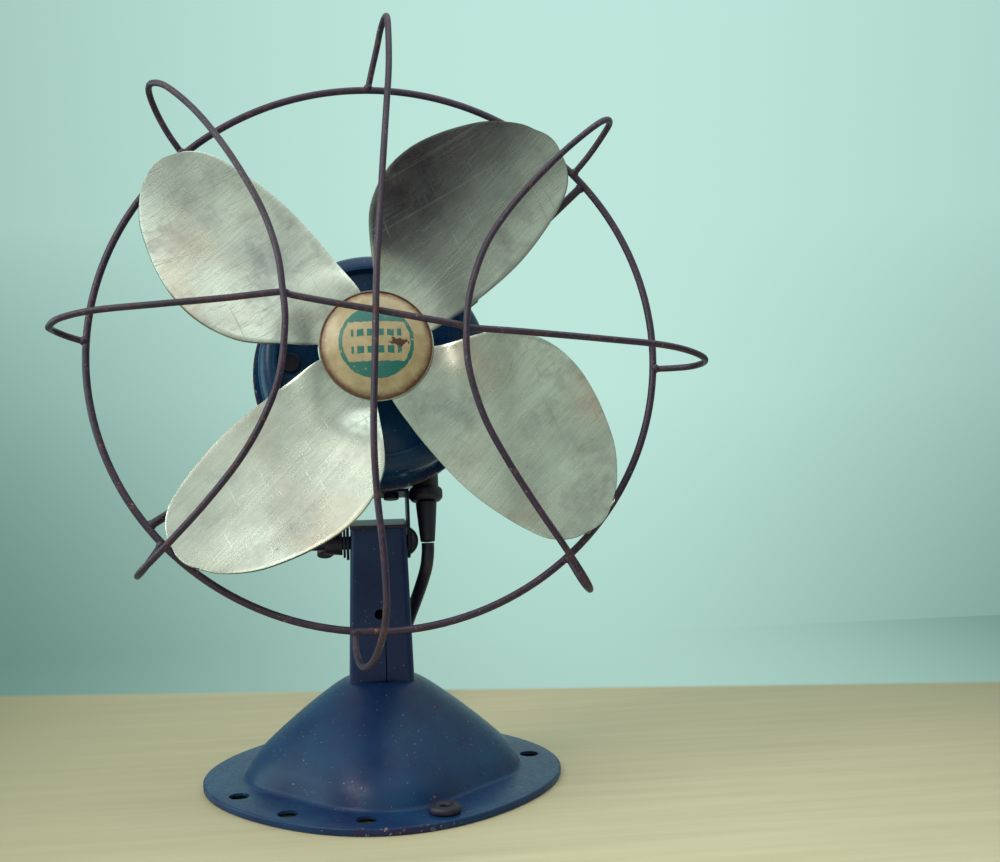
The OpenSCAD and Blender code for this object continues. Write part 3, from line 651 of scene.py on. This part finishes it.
class DeskFanSizes(bpy.types.PropertyGroup):
    """Sizes of the finish work."""
    cord_length: length("Cord length", "Whole length of the cord", 1.42)
    cord_width: length("Cord width", "Diameter of the cord", 0.0048)
    ring_wire: length("Ring wire", "Diameter of the guard ring's wire", 0.0026)
    cage_wire: length("Cage wire", "Diameter of the cage wires", 0.0023)
    blade_sheet: length("Blade sheet", "Thickness of the blade sheet", 0.0009)
    edge: length("Edge", "Radius of the broken edges", 0.00025)
    steps: IntProperty(name="Steps", description="Steps in a full turn of a spun piece", default=96, min=24, max=256)


# ---- cord ----
# The seen run, from the strain relief behind the post and down the back of the base.
CORD_WAY = [
    (18.8, 0.25, 88.9), (18.7, -0.2, 85), (18, 0.6, 79.5), (16.4, 4, 73), (14.4, 9, 66), (12, 13.6, 58.5),
    (9.6, 16.8, 51), (7.6, 18.8, 44.5), (6.4, 22.4, 38.2), (5.6, 26.8, 33.6), (5.1, 32, 29.3), (4.8, 37.9, 24.6),
    (4.6, 44.3, 18.9), (4.5, 49.5, 13.4), (4.3, 53.6, 9), (4.2, 58.5, 6.4), (4.1, 64, 5.7), (4, 69.5, 5.2),
    (4, 74.5, 3.9), (4, 80, 2.8), (3.8, 86.5, 2.5), (2.9, 94, 2.5), (0.8, 101, 2.5)]
HANK_TURN = Matrix.Rotation(radians(-1.8), 3, "Z")
HANK_NEAR, HANK_LONG, HANK_HALF = 106.4, 113.2, 11.4
# From the last turn, up through the hank and back over its near end, to the plug.
TAIL_WAY = [(3.2, 167, 14), (1.6, 162, 17.4), (0.5, 157, 22.4), (0, 152, 27), (0, 147, 29.6), (0, 142, 30.4),
            (0, 139, 30.5)]


def eased(x):
    """Where a strand stands 9 mm short of its loop, on its way out from the waist."""
    return 0.25 * x + (0.75 if x > 0 else -0.75) * HANK_HALF


def hank_way():
    """The tied hank: five turns, one on another at the ends and gathered together in the middle."""
    near, far = HANK_NEAR + HANK_HALF, HANK_NEAR + HANK_LONG - HANK_HALF
    gathered = [((-7.2, 3.3), (7.2, 3.3)), ((-2.4, 3.3), (2.4, 3.3)), ((-7.2, 8.1), (7.2, 8.1)),
                ((-2.4, 8.1), (2.4, 8.1)), ((-4.9, 12.9), (4.9, 12.9))]
    half_turn = [(HANK_HALF * cos(radians(a)), HANK_HALF * sin(radians(a))) for a in range(0, 181, 30)]
    way = [(-7.4, 110.5, 2.45), (-10.6, 118.5, 2.45)]
    for k, (left, right) in enumerate(gathered):
        low = 2.42 + 4.8 * k
        way += [(eased(left[0]), near + 9, low), (left[0] - 1.6, near + 20, left[1] + 0.4),
                (left[0], near + 31, left[1]), (left[0], far - 33, left[1]),
                (left[0] - 1.6, far - 20, (left[1] + low) / 2),
                (eased(left[0]), far - 9, low)]
        way += [(-x, far + y, low) for x, y in half_turn]
        if k < 4:
            rise = 2.42 + 4.8 * (k + 1)
            way += [(eased(right[0]), far - 9, low), (right[0] + 1.6, far - 20, (right[1] + low) / 2),
                    (right[0], far - 33, right[1]), (right[0], near + 31, right[1]),
                    (right[0] + 1.6, near + 20, (right[1] + rise) / 2), (eased(right[0]), near + 9, rise)]
            way += [(x, near - y, rise) for x, y in half_turn]
        else:
            way += [(9.9, far - 9, 21.4), (6.4, far - 20, 18), (4.9, far - 33, 14)]
    return way + TAIL_WAY


class DESKFAN_OT_cord(bpy.types.Operator):
    """Lay the cord, with its hank and plug"""
    bl_idname = "deskfan.cord"
    bl_label = "Cord"

    def execute(self, context):
        sizes = context.scene.desk_fan_sizes
        hank = [tuple(HANK_TURN @ Vector(p)) for p in hank_way()]
        line = [mm(*p) for p in smooth_line(CORD_WAY + hank, 6)]
        mesh = swept("power_cord_tube", line, sizes.cord_width / 2, 4)
        cord = keep("power_cord_tube", mesh, None, "cord",
                    ["power_cord", "cord_hank", "plug_tail"], sharp=60)
        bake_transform(cord)
        pieces = [tie_band(context), plug_body(), frame["nodes"]["plug_blades"]]
        return {"FINISHED"}


def tie_band(context):
    """The rubber band round the hank."""
    low, high = (Vector(c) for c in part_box("hank_tie"))
    bm = bmesh.new()
    made = bmesh.ops.create_cube(bm, size=1.0)
    bmesh.ops.scale(bm, vec=(0.0206, 0.005, 0.0158), verts=made["verts"])
    ends = [f for f in bm.faces if abs(f.normal.y) > 0.9]
    bmesh.ops.delete(bm, geom=ends, context="FACES_ONLY")
    long_edges = [e for e in bm.edges if abs((e.verts[0].co - e.verts[1].co).normalized().y) > 0.9]
    bmesh.ops.bevel(bm, geom=long_edges, offset=0.0045, segments=6, profile=0.5, affect="EDGES", material=-1)
    bmesh.ops.solidify(bm, geom=bm.faces[:], thickness=0.0008)
    mesh = mesh_of(bm, "hank_band", Matrix.Translation((low + high) / 2) @ HANK_TURN.to_4x4())
    return keep("hank_band", mesh, "stand", "rubber", ["hank_tie"], bevel=0.0002)


def plug_body():
    """The moulded two-pin plug, with its grip ribs and its tapered neck."""
    mesh = refined("plug_body", "plug_grip")
    return keep("plug_grip", mesh, "stand", "plug", ["plug_body"], bevel=0.0008, segments=4)


class DESKFAN_OT_strain_relief(bpy.types.Operator):
    """Turn the strain relief and the bushing where the cord leaves the motor"""
    bl_idname = "deskfan.strain_relief"
    bl_label = "Strain relief"

    def execute(self, context):
        down = MOTOR @ Matrix.Translation(mm(18.8, 0, -50)) @ Matrix.Rotation(radians(90), 4, "X")
        ribs = [(0, 36), (3.1, 36), (3.1, 46.5), (4.05, 47), (3.85, 49.4), (3.3, 56), (2.75, 61.9), (0, 61.9)]
        mesh = turned(rounded_corners(ribs, 0.25), "relief_sleeve", down, 40)
        keep("relief_sleeve", mesh, "head", "rubber", ["cord_sleeve"])
        collar = [(3.25, 35.3), (5, 35.3), (5, 41.2), (5.7, 41.2), (6.45, 42.1), (6.45, 45), (5.4, 46.35),
                  (3.25, 46.35), (3.25, 35.3)]
        mesh = turned(rounded_corners(collar, 0.5), "outlet_collar", down, 48)
        keep("outlet_collar", mesh, "head", "rubber", ["cord_bushing"])
        return {"FINISHED"}


# ---- stand ----
# The foot holes stand 58 mm out, at these turns about Z; two of them hold their rubber feet.
HOLE_TURNS = (-156, -127, -98, -71, 9, 109)
FOOT_TURNS = (-71, 109)
HOLE_OUT = 58
DOME = [(66.3, 0.0), (66.3, 1.9), (65.6, 2.8), (61, 2.82), (56, 2.85), (53.4, 3.0), (52.2, 3.8), (51.3, 5.6),
        (48.7, 10), (43.7, 15.2), (36.2, 21.8), (28.6, 28), (21.4, 33.4), (17.4, 36.2), (14.4, 37.9),
        (12.6, 38.5), (11.4, 38.7)]


class DESKFAN_OT_base(bpy.types.Operator):
    """Form the stamped base"""
    bl_idname = "deskfan.base"
    bl_label = "Base"

    def execute(self, context):
        steps = context.scene.desk_fan_sizes.steps
        skin = [tuple(p)[:2] for p in smooth_line([(r, z, 0) for r, z in DOME[3:]], 3)]
        outer = rounded_corners([(65.3, 0.15), (66.2, 0.15), (66.3, 2.8), (62, 2.8)], 0.9, 4)[:-1] + skin
        inner = [(r - 1.0, z - 1.1) for r, z in reversed(skin)]
        inner = [(r, max(z, 1.75)) for r, z in inner] + [(65.1, 1.75), (65.2, 0.15), (65.3, 0.15)]
        bm = bmesh.new()
        lathe(bm, outer + inner, int(steps * 1.5))
        for v in bm.verts:
            r = v.co.xy.length * 1000
            z = v.co.z * 1000
            turn = v.co.xy.angle_signed(Vector((1, 0)))
            # The dome's flats stand in from its rounded corners; the plate is squared less and about its mean.
            dome = 0.075 * (1 - ease((z - 2) / 36))
            share = ease((r - 52.6) / 12.6)
            v.co.xy *= ((1 - share) * (1 + dome * cos(4 * turn)) / (1 + dome)
                        + share * (1 + 0.022 * cos(4 * turn)))
        mesh = mesh_of(bm, "base_pressing")
        cut = bmesh.new()
        for a in HOLE_TURNS:
            place = Matrix.Rotation(radians(a), 4, "Z") @ Matrix.Translation(mm(HOLE_OUT, 0, 2))
            bmesh.ops.create_cone(cut, segments=40, radius1=0.0037, radius2=0.0037, depth=0.01, cap_ends=True,
                                  matrix=place)
        cutter = bpy.data.objects.new("hole_punch", mesh_of(cut, "hole_punch"))
        blank_base = bpy.data.objects.new("base_blank", mesh)
        for obj in (cutter, blank_base):
            context.scene.collection.objects.link(obj)
        holes = blank_base.modifiers.new("foot holes", "BOOLEAN")
        holes.object = cutter
        holes.solver = "EXACT"
        context.view_layer.update()
        done = bpy.data.meshes.new_from_object(blank_base.evaluated_get(context.evaluated_depsgraph_get()))
        for obj in (cutter, blank_base):
            bpy.data.objects.remove(obj)
        keep("base_pressing", done, "stand", "base", ["base_shell"], sharp=40)
        return {"FINISHED"}


class DESKFAN_OT_feet(bpy.types.Operator):
    """Turn the two rubber feet that are left"""
    bl_idname = "deskfan.feet"
    bl_label = "Rubber feet"

    def execute(self, context):
        outline = [(1.9, 0.1), (4.3, 0.1), (4.7, 0.5), (4.7, 1.7), (3.6, 1.75), (3.6, 2.85), (5.2, 2.85),
                   (5.6, 3.4),
                   (5.6, 4.6), (4.9, 5.6), (2.8, 5.7), (1.9, 5), (1.9, 0.1)]
        bm = bmesh.new()
        for a in FOOT_TURNS:
            before = set(bm.verts)
            lathe(bm, rounded_corners(outline, 0.35), 40)
            new = [v for v in bm.verts if v not in before]
            place = Matrix.Rotation(radians(a), 4, "Z") @ Matrix.Translation(mm(HOLE_OUT, 0, 0))
            bmesh.ops.transform(bm, matrix=place, verts=new)
        keep("rubber_feet", mesh_of(bm, "rubber_feet"), "stand", "rubber", ["foot_grommets"])
        return {"FINISHED"}


class DESKFAN_OT_post(bpy.types.Operator):
    """Finish the folded post, its cap and the tilt fittings"""
    bl_idname = "deskfan.post"
    bl_label = "Post and tilt fittings"

    def execute(self, context):
        edge = context.scene.desk_fan_sizes.edge
        for node, body, finish, slot, width in (
                ("post_tube", "stand", "post", "post_enamel", edge * 0.8),
                ("post_cap", "stand", "dark_steel", "dark_steel", edge * 2),
                ("pivot_bolt", "stand", "dark_steel", "dark_steel", edge),
                ("pivot_washer", "stand", "dark_steel", "dark_steel", edge * 0.6),
                ("wing_nut", "nut", "dark_steel", "dark_steel", edge * 2),
                ("tilt_bracket", "head", "bracket", "motor_enamel", edge),
                ("bracket_screws", "head", "dark_steel", "dark_steel", edge)):
            keep(node + "_finish", refined(node), body, finish, [node], bevel=width)
        return {"FINISHED"}


# ---- motor ----
class DESKFAN_OT_motor(bpy.types.Operator):
    """Finish the two halves of the motor shell and their bolts"""
    bl_idname = "deskfan.motor"
    bl_label = "Motor shell"

    def execute(self, context):
        edge = context.scene.desk_fan_sizes.edge
        for node, finish, slot, width in (
                ("front_bell", "motor", "motor_enamel", edge * 1.4),
                ("rear_cover", "motor", "motor_enamel", edge * 1.4),
                ("through_bolts", "dark_steel", "dark_steel", edge * 1.6),
                ("bolt_nuts", "dark_steel", "dark_steel", edge * 1.6)):
            keep(node + "_finish", refined(node), "head", finish, [node], bevel=width)
        return {"FINISHED"}


# ---- guard ----
STAY_TURNS = (38, 142, 218, 322)
UPRIGHT = [(0.5, 101, 0), (2, 107, 2), (4, 114, 6), (5.5, 119, 11), (7, 120, 18), (7.5, 114, 24), (7, 95, 29),
           (5.5, 78, 32), (2.5, 46, 36), (0, 18, 38.5), (-1.5, -10, 39.4), (-3, -40, 38.5), (-2.5, -60, 36),
           (-1, -78, 33), (-0.5, -94, 30), (-2, -104, 26), (-5, -111, 19), (-8, -112.5, 12), (-10, -108, 4.5),
           (-10.5, -100.5, 0)]
LEVEL = [(-101, 4.5, 0), (-106, 5.5, 3), (-109.5, 5.8, 9), (-109, 4.5, 17), (-104, 5, 24), (-92, 6, 28.5),
         (-71, 6.6, 32), (-50, 7.6, 34), (-32, 9, 35.2), (-28, 7.8, 35.4), (-14, 4.6, 36), (0, 1.8, 36.2),
         (14, -1, 36),
         (26, -3.4, 35.7), (30, -4.6, 35.6), (44, -5.6, 34.6), (62, -7, 33), (80, -8.4, 31), (95, -9.6, 29),
         (105, -10.6, 25.5), (112.5, -11.6, 20), (115, -11.6, 13), (112.5, -11, 6), (107, -10.4, 2),
         (100.5, -10, 0)]
LEFT = [(-67.6, 75.2, 0), (-72, 81, 4), (-75.5, 87, 9), (-77, 91, 16), (-75, 91, 22), (-69.5, 87.5, 26),
        (-60.5, 78, 29), (-52, 66, 31.5), (-44, 52, 34), (-37, 37, 36), (-32.6, 22, 38), (-31, 9, 38.6),
        (-30.4, -3, 38.6), (-32.6, -20, 37.6), (-38, -34, 36), (-46, -47, 33.5), (-57, -60, 30.5), (-68, -71, 27),
        (-77, -78.5, 21), (-80, -80, 14), (-79, -76.5, 6), (-74.6, -68.2, 0)]
RIGHT = [(76, 66.6, 0), (80.5, 71, 4), (84.5, 75.5, 9), (87, 78.5, 16), (84.5, 77, 22.5), (78.5, 72, 26.5),
         (67, 61.5, 29.5), (55.5, 49.5, 32), (45.5, 37.5, 34.5), (37, 24.5, 36.8), (31, 9, 38.6), (28.6, -5, 38.8),
         (28.8, -19, 38), (33, -35, 36.4), (40, -49, 34), (49, -64, 31.5), (57.5, -76.5, 28), (65, -87, 22),
         (68, -90.5, 15), (67, -86.5, 7), (64.2, -78, 0)]


class DESKFAN_OT_guard(bpy.types.Operator):
    """Bend the guard: its ring, the four cage wires and the four stays"""
    bl_idname = "deskfan.guard"
    bl_label = "Wire guard"

    def execute(self, context):
        sizes = context.scene.desk_fan_sizes
        bm = bmesh.new()
        made = bmesh.ops.create_circle(bm, segments=20, radius=sizes.ring_wire / 2, cap_ends=False)
        bmesh.ops.rotate(bm, cent=(0, 0, 0), matrix=Matrix.Rotation(radians(90), 3, "X"), verts=made["verts"])
        bmesh.ops.translate(bm, vec=(0.1, 0, 0), verts=made["verts"])
        bmesh.ops.spin(bm, geom=bm.verts[:] + bm.edges[:], cent=(0, 0, 0), axis=(0, 0, 1), angle=2 * pi, steps=160,
                       use_merge=True, use_duplicate=False, dvec=(0, 0, 0))
        # Spot welds where each wire and stay meets the ring.
        for wire in (UPRIGHT, LEVEL, LEFT, RIGHT):
            for end in (wire[0], wire[-1]):
                away = Vector(end[:2]).normalized() * 0.1007
                bmesh.ops.create_icosphere(bm, subdivisions=3, radius=0.0017,
                                           matrix=Matrix.Translation((away.x, away.y, 0.0003)))
        for a in STAY_TURNS:
            place = Vector((cos(radians(a)), sin(radians(a)))) * 0.0987
            bmesh.ops.create_icosphere(bm, subdivisions=3, radius=0.0018,
                                       matrix=Matrix.Translation((place.x, place.y, -0.001)))
        keep("guard_hoop", mesh_of(bm, "guard_hoop", MOTOR), "head", "wire", ["guard_ring"], sharp=60)
        for name, node, bends in (("upright_bow", "wire_upright", UPRIGHT), ("level_bow", "wire_level", LEVEL),
                                  ("left_bow", "wire_left", LEFT), ("right_bow", "wire_right", RIGHT)):
            line = [MOTOR @ mm(*p) for p in smooth_line(bends, 8)]
            keep(name, swept(name, line, sizes.cage_wire / 2, 4), "head", "wire", [node], sharp=60)
        bm = bmesh.new()
        for a in STAY_TURNS:
            out = Vector((cos(radians(a)), sin(radians(a)), 0))
            foot, top = out * 0.0469 + Vector((0, 0, -0.027)), out * 0.0987 + Vector((0, 0, -0.0006))
            run = (top - foot).normalized()
            stay = top - foot - run * 0.0032
            bmesh.ops.create_cone(bm, segments=20, radius1=0.0015, radius2=0.0015, depth=stay.length, cap_ends=True,
                                  matrix=Matrix.Translation(foot + run * 0.0032 + stay / 2)
                                  @ run.to_track_quat("Z", "Y").to_matrix().to_4x4())
        keep("guard_struts", mesh_of(bm, "guard_struts", MOTOR), "head", "wire", ["guard_stays"],
             sharp=40, bevel=0.0003)
        keep("strut_lugs", refined("guard_lugs"), "head", "bracket", ["guard_lugs"],
             bevel=0.0005)
        return {"FINISHED"}


# ---- fan ----
# Each row of a blade: distance from the axis, then the angles to its leading and trailing edges.
BLADE = [(19, 37, 38), (20.6, 36, 38.5), (24, 33.5, 39.5), (30, 29.5, 41), (38, 26.2, 42), (46, 23.8, 41.5),
         (54, 21.8, 38.5), (62, 19.8, 34.2), (70, 17.6, 28.6), (77, 15.7, 23), (84, 13.8, 17.4),
         (90, 12, 12.8), (95, 9.8, 8.6),
         (98.5, 7.2, 5.2), (100.4, 4.4, 1.8)]
BLADE_TURNS = (50, 140, 230, 320)
HUB_FACE = 2.6


def sheet_height(r, a):
    """How far the blade's back stands ahead of the ring, in millimetres."""
    s = r * sin(a)
    return HUB_FACE + 8.4 * max(0.0, (r - 22) / 79) ** 1.8 + ease((r - 20) / 16) * (0.24 * s + 0.0034 * s * s)


class DESKFAN_OT_blades(bpy.types.Operator):
    """Stamp the four blades and their hub plate from one sheet"""
    bl_idname = "deskfan.blades"
    bl_label = "Blades"

    def execute(self, context):
        sizes = context.scene.desk_fan_sizes
        rows = [Vector(row) for row in smooth_line(BLADE, 8)]
        bm = bmesh.new()
        for turn in BLADE_TURNS:
            made = bmesh.ops.create_grid(bm, x_segments=28, y_segments=40, size=0.5)
            for v in made["verts"]:
                along, across = v.co.y + 0.5, v.co.x + 0.5
                at = min(along, 1) * (len(rows) - 1)
                i = min(int(at), len(rows) - 2)
                r, lead, trail = rows[i].lerp(rows[i + 1], at - i)
                a = radians(-lead + (lead + trail) * across)
                r *= 1 - 0.012 * ease((r - 88) / 12) * (2 * across - 1) ** 2
                w = sheet_height(r, a)
                b = a + radians(turn)
                v.co = mm(r * cos(b), r * sin(b), w)
        bmesh.ops.recalc_face_normals(bm, faces=bm.faces)
        up = sum((f.normal.z * f.calc_area() for f in bm.faces), 0.0)
        if up < 0:
            bmesh.ops.reverse_faces(bm, faces=bm.faces)
        mesh = bpy.data.meshes.new("blade_stamping")
        bmesh.ops.transform(bm, matrix=MOTOR, verts=bm.verts)
        bm.to_mesh(mesh)
        bm.free()
        blades = keep("blade_stamping", mesh, "rotor", "blades", ["blade_spider"],
                      sharp=50)
        wall = blades.modifiers.new("sheet", "SOLIDIFY")
        wall.thickness = sizes.blade_sheet
        wall.offset = 1.0
        edge = blades.modifiers.new("rolled edge", "BEVEL")
        edge.width = 0.0003
        edge.segments = 2
        edge.limit_method = "ANGLE"
        edge.angle_limit = radians(50)
        plate = [(3.3, 2.62), (20.2, 2.62), (20.4, 2.8), (20.4, 3.2), (20.2, 3.42), (3.3, 3.42), (3.3, 2.62)]
        mesh = turned(plate, "hub_plate", MOTOR, sizes.steps)
        keep("hub_plate", mesh, "rotor", "blades", [])
        return {"FINISHED"}


class DESKFAN_OT_cap(bpy.types.Operator):
    """Press the domed hub cap"""
    bl_idname = "deskfan.cap"
    bl_label = "Hub cap"

    def execute(self, context):
        face = HUB_FACE + 0.95
        # A shallow dome that stands 5.4 mm proud of a rolled rim.
        dome = [(42.4 * cos(radians(a)), face + 1.6 - 38.6 + 42.4 * sin(radians(a))) for a in
                [62.2 + 27.8 * k / 18 for k in range(19)]]
        outline = [(19.0, face), (19.7, face), (19.9, face + 0.35), (19.9, face + 0.85), (19.5, face + 1.1)]
        outline += dome[:-1] + [(0.0, dome[-1][1])]
        outline += [(r * 0.975, max(z - 0.75, face + 0.02)) for r, z in reversed(dome[:-1])] + [(19.0, face)]
        mesh = turned(outline, "hub_dome", MOTOR, 128)
        keep("hub_dome", mesh, "rotor", "cap", ["hub_cap"], sharp=50)
        return {"FINISHED"}


class DESKFAN_OT_inner_parts(bpy.types.Operator):
    """Give the inner parts their finishes"""
    bl_idname = "deskfan.inner_parts"
    bl_label = "Inner parts"

    def execute(self, context):
        finishes = {
            "post_foot": "core", "foot_rivets": "steel", "stator_core": "core", "field_coils": "winding",
            "shading_rings": "copper", "front_bearing": "bronze", "rear_bearing": "bronze", "oil_felts": "felt",
            "lead_splices": "plastic", "motor_shaft": "steel", "rotor_core": "core", "thrust_washers": "brass",
            "hub_sleeve": "steel", "set_screw": "dark_steel", "spider_rivets": "blades", "plug_blades": "brass",
        }
        for node, finish in finishes.items():
            mesh = frame["nodes"][node].data
            mesh.materials.clear()
            mesh.materials.append(finish_for(finish))
        return {"FINISHED"}


# ---- stage ----
TABLE_WIDE, TABLE_DEEP, TABLE_BACK = 2.4, 0.65, 0.25


class DESKFAN_OT_stage(bpy.types.Operator):
    """Set the camera, the table, the surroundings and the light"""
    bl_idname = "deskfan.stage"
    bl_label = "Stage"

    def execute(self, context):
        look = context.scene.desk_fan_stage
        lens = bpy.data.cameras.new("view")
        lens.lens = look.lens
        lens.sensor_width = 36.0
        lens.clip_start = 0.01
        camera = bpy.data.objects.new("view", lens)
        context.scene.collection.objects.link(camera)
        forward = Vector((sin(look.turn) * cos(look.pitch), cos(look.turn) * cos(look.pitch), -sin(look.pitch)))
        right = forward.cross(Vector((0, 0, 1))).normalized()
        up = right.cross(forward)
        camera.matrix_world = (axes_matrix(Vector(look.stand_off), right, up, -forward)
                               @ Matrix.Rotation(look.roll, 4, "Z"))
        context.scene.camera = camera

        bm = bmesh.new()
        bmesh.ops.create_grid(bm, x_segments=1, y_segments=1, size=0.5)
        bmesh.ops.scale(bm, vec=(TABLE_WIDE, TABLE_DEEP, 1.0), verts=bm.verts)
        bmesh.ops.translate(bm, vec=(0.0, TABLE_BACK - TABLE_DEEP / 2, 0.0), verts=bm.verts)
        mesh = bpy.data.meshes.new("table_top")
        bm.to_mesh(mesh)
        bm.free()
        mesh.materials.append(finish_for("table"))
        table = bpy.data.objects.new("table_top", mesh)
        context.scene.collection.objects.link(table)

        world = bpy.data.worlds.new("plain_surroundings")
        world.use_nodes = True
        world.node_tree.nodes.clear()
        tree = world.node_tree
        ways = add(tree, "TexCoord").outputs["Generated"]
        # The wall is behind the fan, the ceiling is pale, and the room in front is dark to the right.
        tone = wall_tone(tree, ways)
        for way, start, end, code in (((0, 1, 0), 0.6, 0.2, look.room), ((0, 0, 1), 0.45, 0.85, look.ceiling),
                                      ((0.72, -0.69, 0.0), 0.72, 0.95, look.dark)):
            facing = add(tree, "VectorMath", {"operation": "DOT_PRODUCT", 1: way}, {0: ways}).outputs[1]
            share = ranged(tree, facing, start, end)
            mix = add(tree, "Mix", {"data_type": "RGBA", 7: (*code, 1.0)}, {0: share, 6: tone})
            tone = mix.outputs[2]
        glow = add(tree, "Background", {"Strength": 1.0}, {"Color": tone})
        add(tree, "OutputWorld", links={"Surface": glow.outputs[0]})
        context.scene.view_settings.view_transform = "Standard"
        context.scene.world = world

        for name, place, size, power, tint in (
                ("window", (-0.85, -0.55, 0.95), 0.55, look.key_power, "#FFFCF2"),
                ("ceiling", (0.15, -0.15, 1.3), 0.9, look.key_power * 0.5, "#EAF6F4"),
                ("side", (-0.8, 0.12, 0.22), 0.5, look.key_power * 0.3, "#C4F0EE")):
            light = bpy.data.lights.new(name, "AREA")
            light.shape = "SQUARE"
            light.size = size
            light.energy = power
            light.color = linear(tint)[:3]
            lamp = bpy.data.objects.new(name, light)
            context.scene.collection.objects.link(lamp)
            lamp.location = place
            lamp.rotation_euler = (Vector((0, -0.03, 0.15)) - Vector(place)).to_track_quat("-Z", "Y").to_euler()
        return {"FINISHED"}


OPERATORS = (DESKFAN_OT_stage, DESKFAN_OT_cord, DESKFAN_OT_strain_relief, DESKFAN_OT_base, DESKFAN_OT_feet,
             DESKFAN_OT_post, DESKFAN_OT_motor, DESKFAN_OT_guard, DESKFAN_OT_blades, DESKFAN_OT_cap,
             DESKFAN_OT_inner_parts)


class DESKFAN_PT_panel(bpy.types.Panel):
    """The fan's pieces, in the sidebar"""
    bl_idname = "DESKFAN_PT_panel"
    bl_label = "Desk fan"
    bl_space_type = "VIEW_3D"
    bl_region_type = "UI"
    bl_category = "Desk fan"

    def draw(self, context):
        for group in (context.scene.desk_fan_stage, context.scene.desk_fan_sizes):
            box = self.layout.box()
            for key in group.__annotations__:
                box.prop(group, key)
        for operator in OPERATORS:
            self.layout.operator(operator.bl_idname)


CLASSES = (DeskFanStage, DeskFanSizes, *OPERATORS, DESKFAN_PT_panel)


def register():
    for cls in CLASSES:
        bpy.utils.register_class(cls)
    bpy.types.Scene.desk_fan_stage = PointerProperty(type=DeskFanStage)
    bpy.types.Scene.desk_fan_sizes = PointerProperty(type=DeskFanSizes)


def unregister():
    del bpy.types.Scene.desk_fan_sizes
    del bpy.types.Scene.desk_fan_stage
    for cls in reversed(CLASSES):
        bpy.utils.unregister_class(cls)


def main():
    register()
    for operator in OPERATORS:
        group, name = operator.bl_idname.split(".")
        getattr(getattr(bpy.ops, group), name)()
    bpy.context.view_layer.update()


if __name__ == "__main__":
    main()
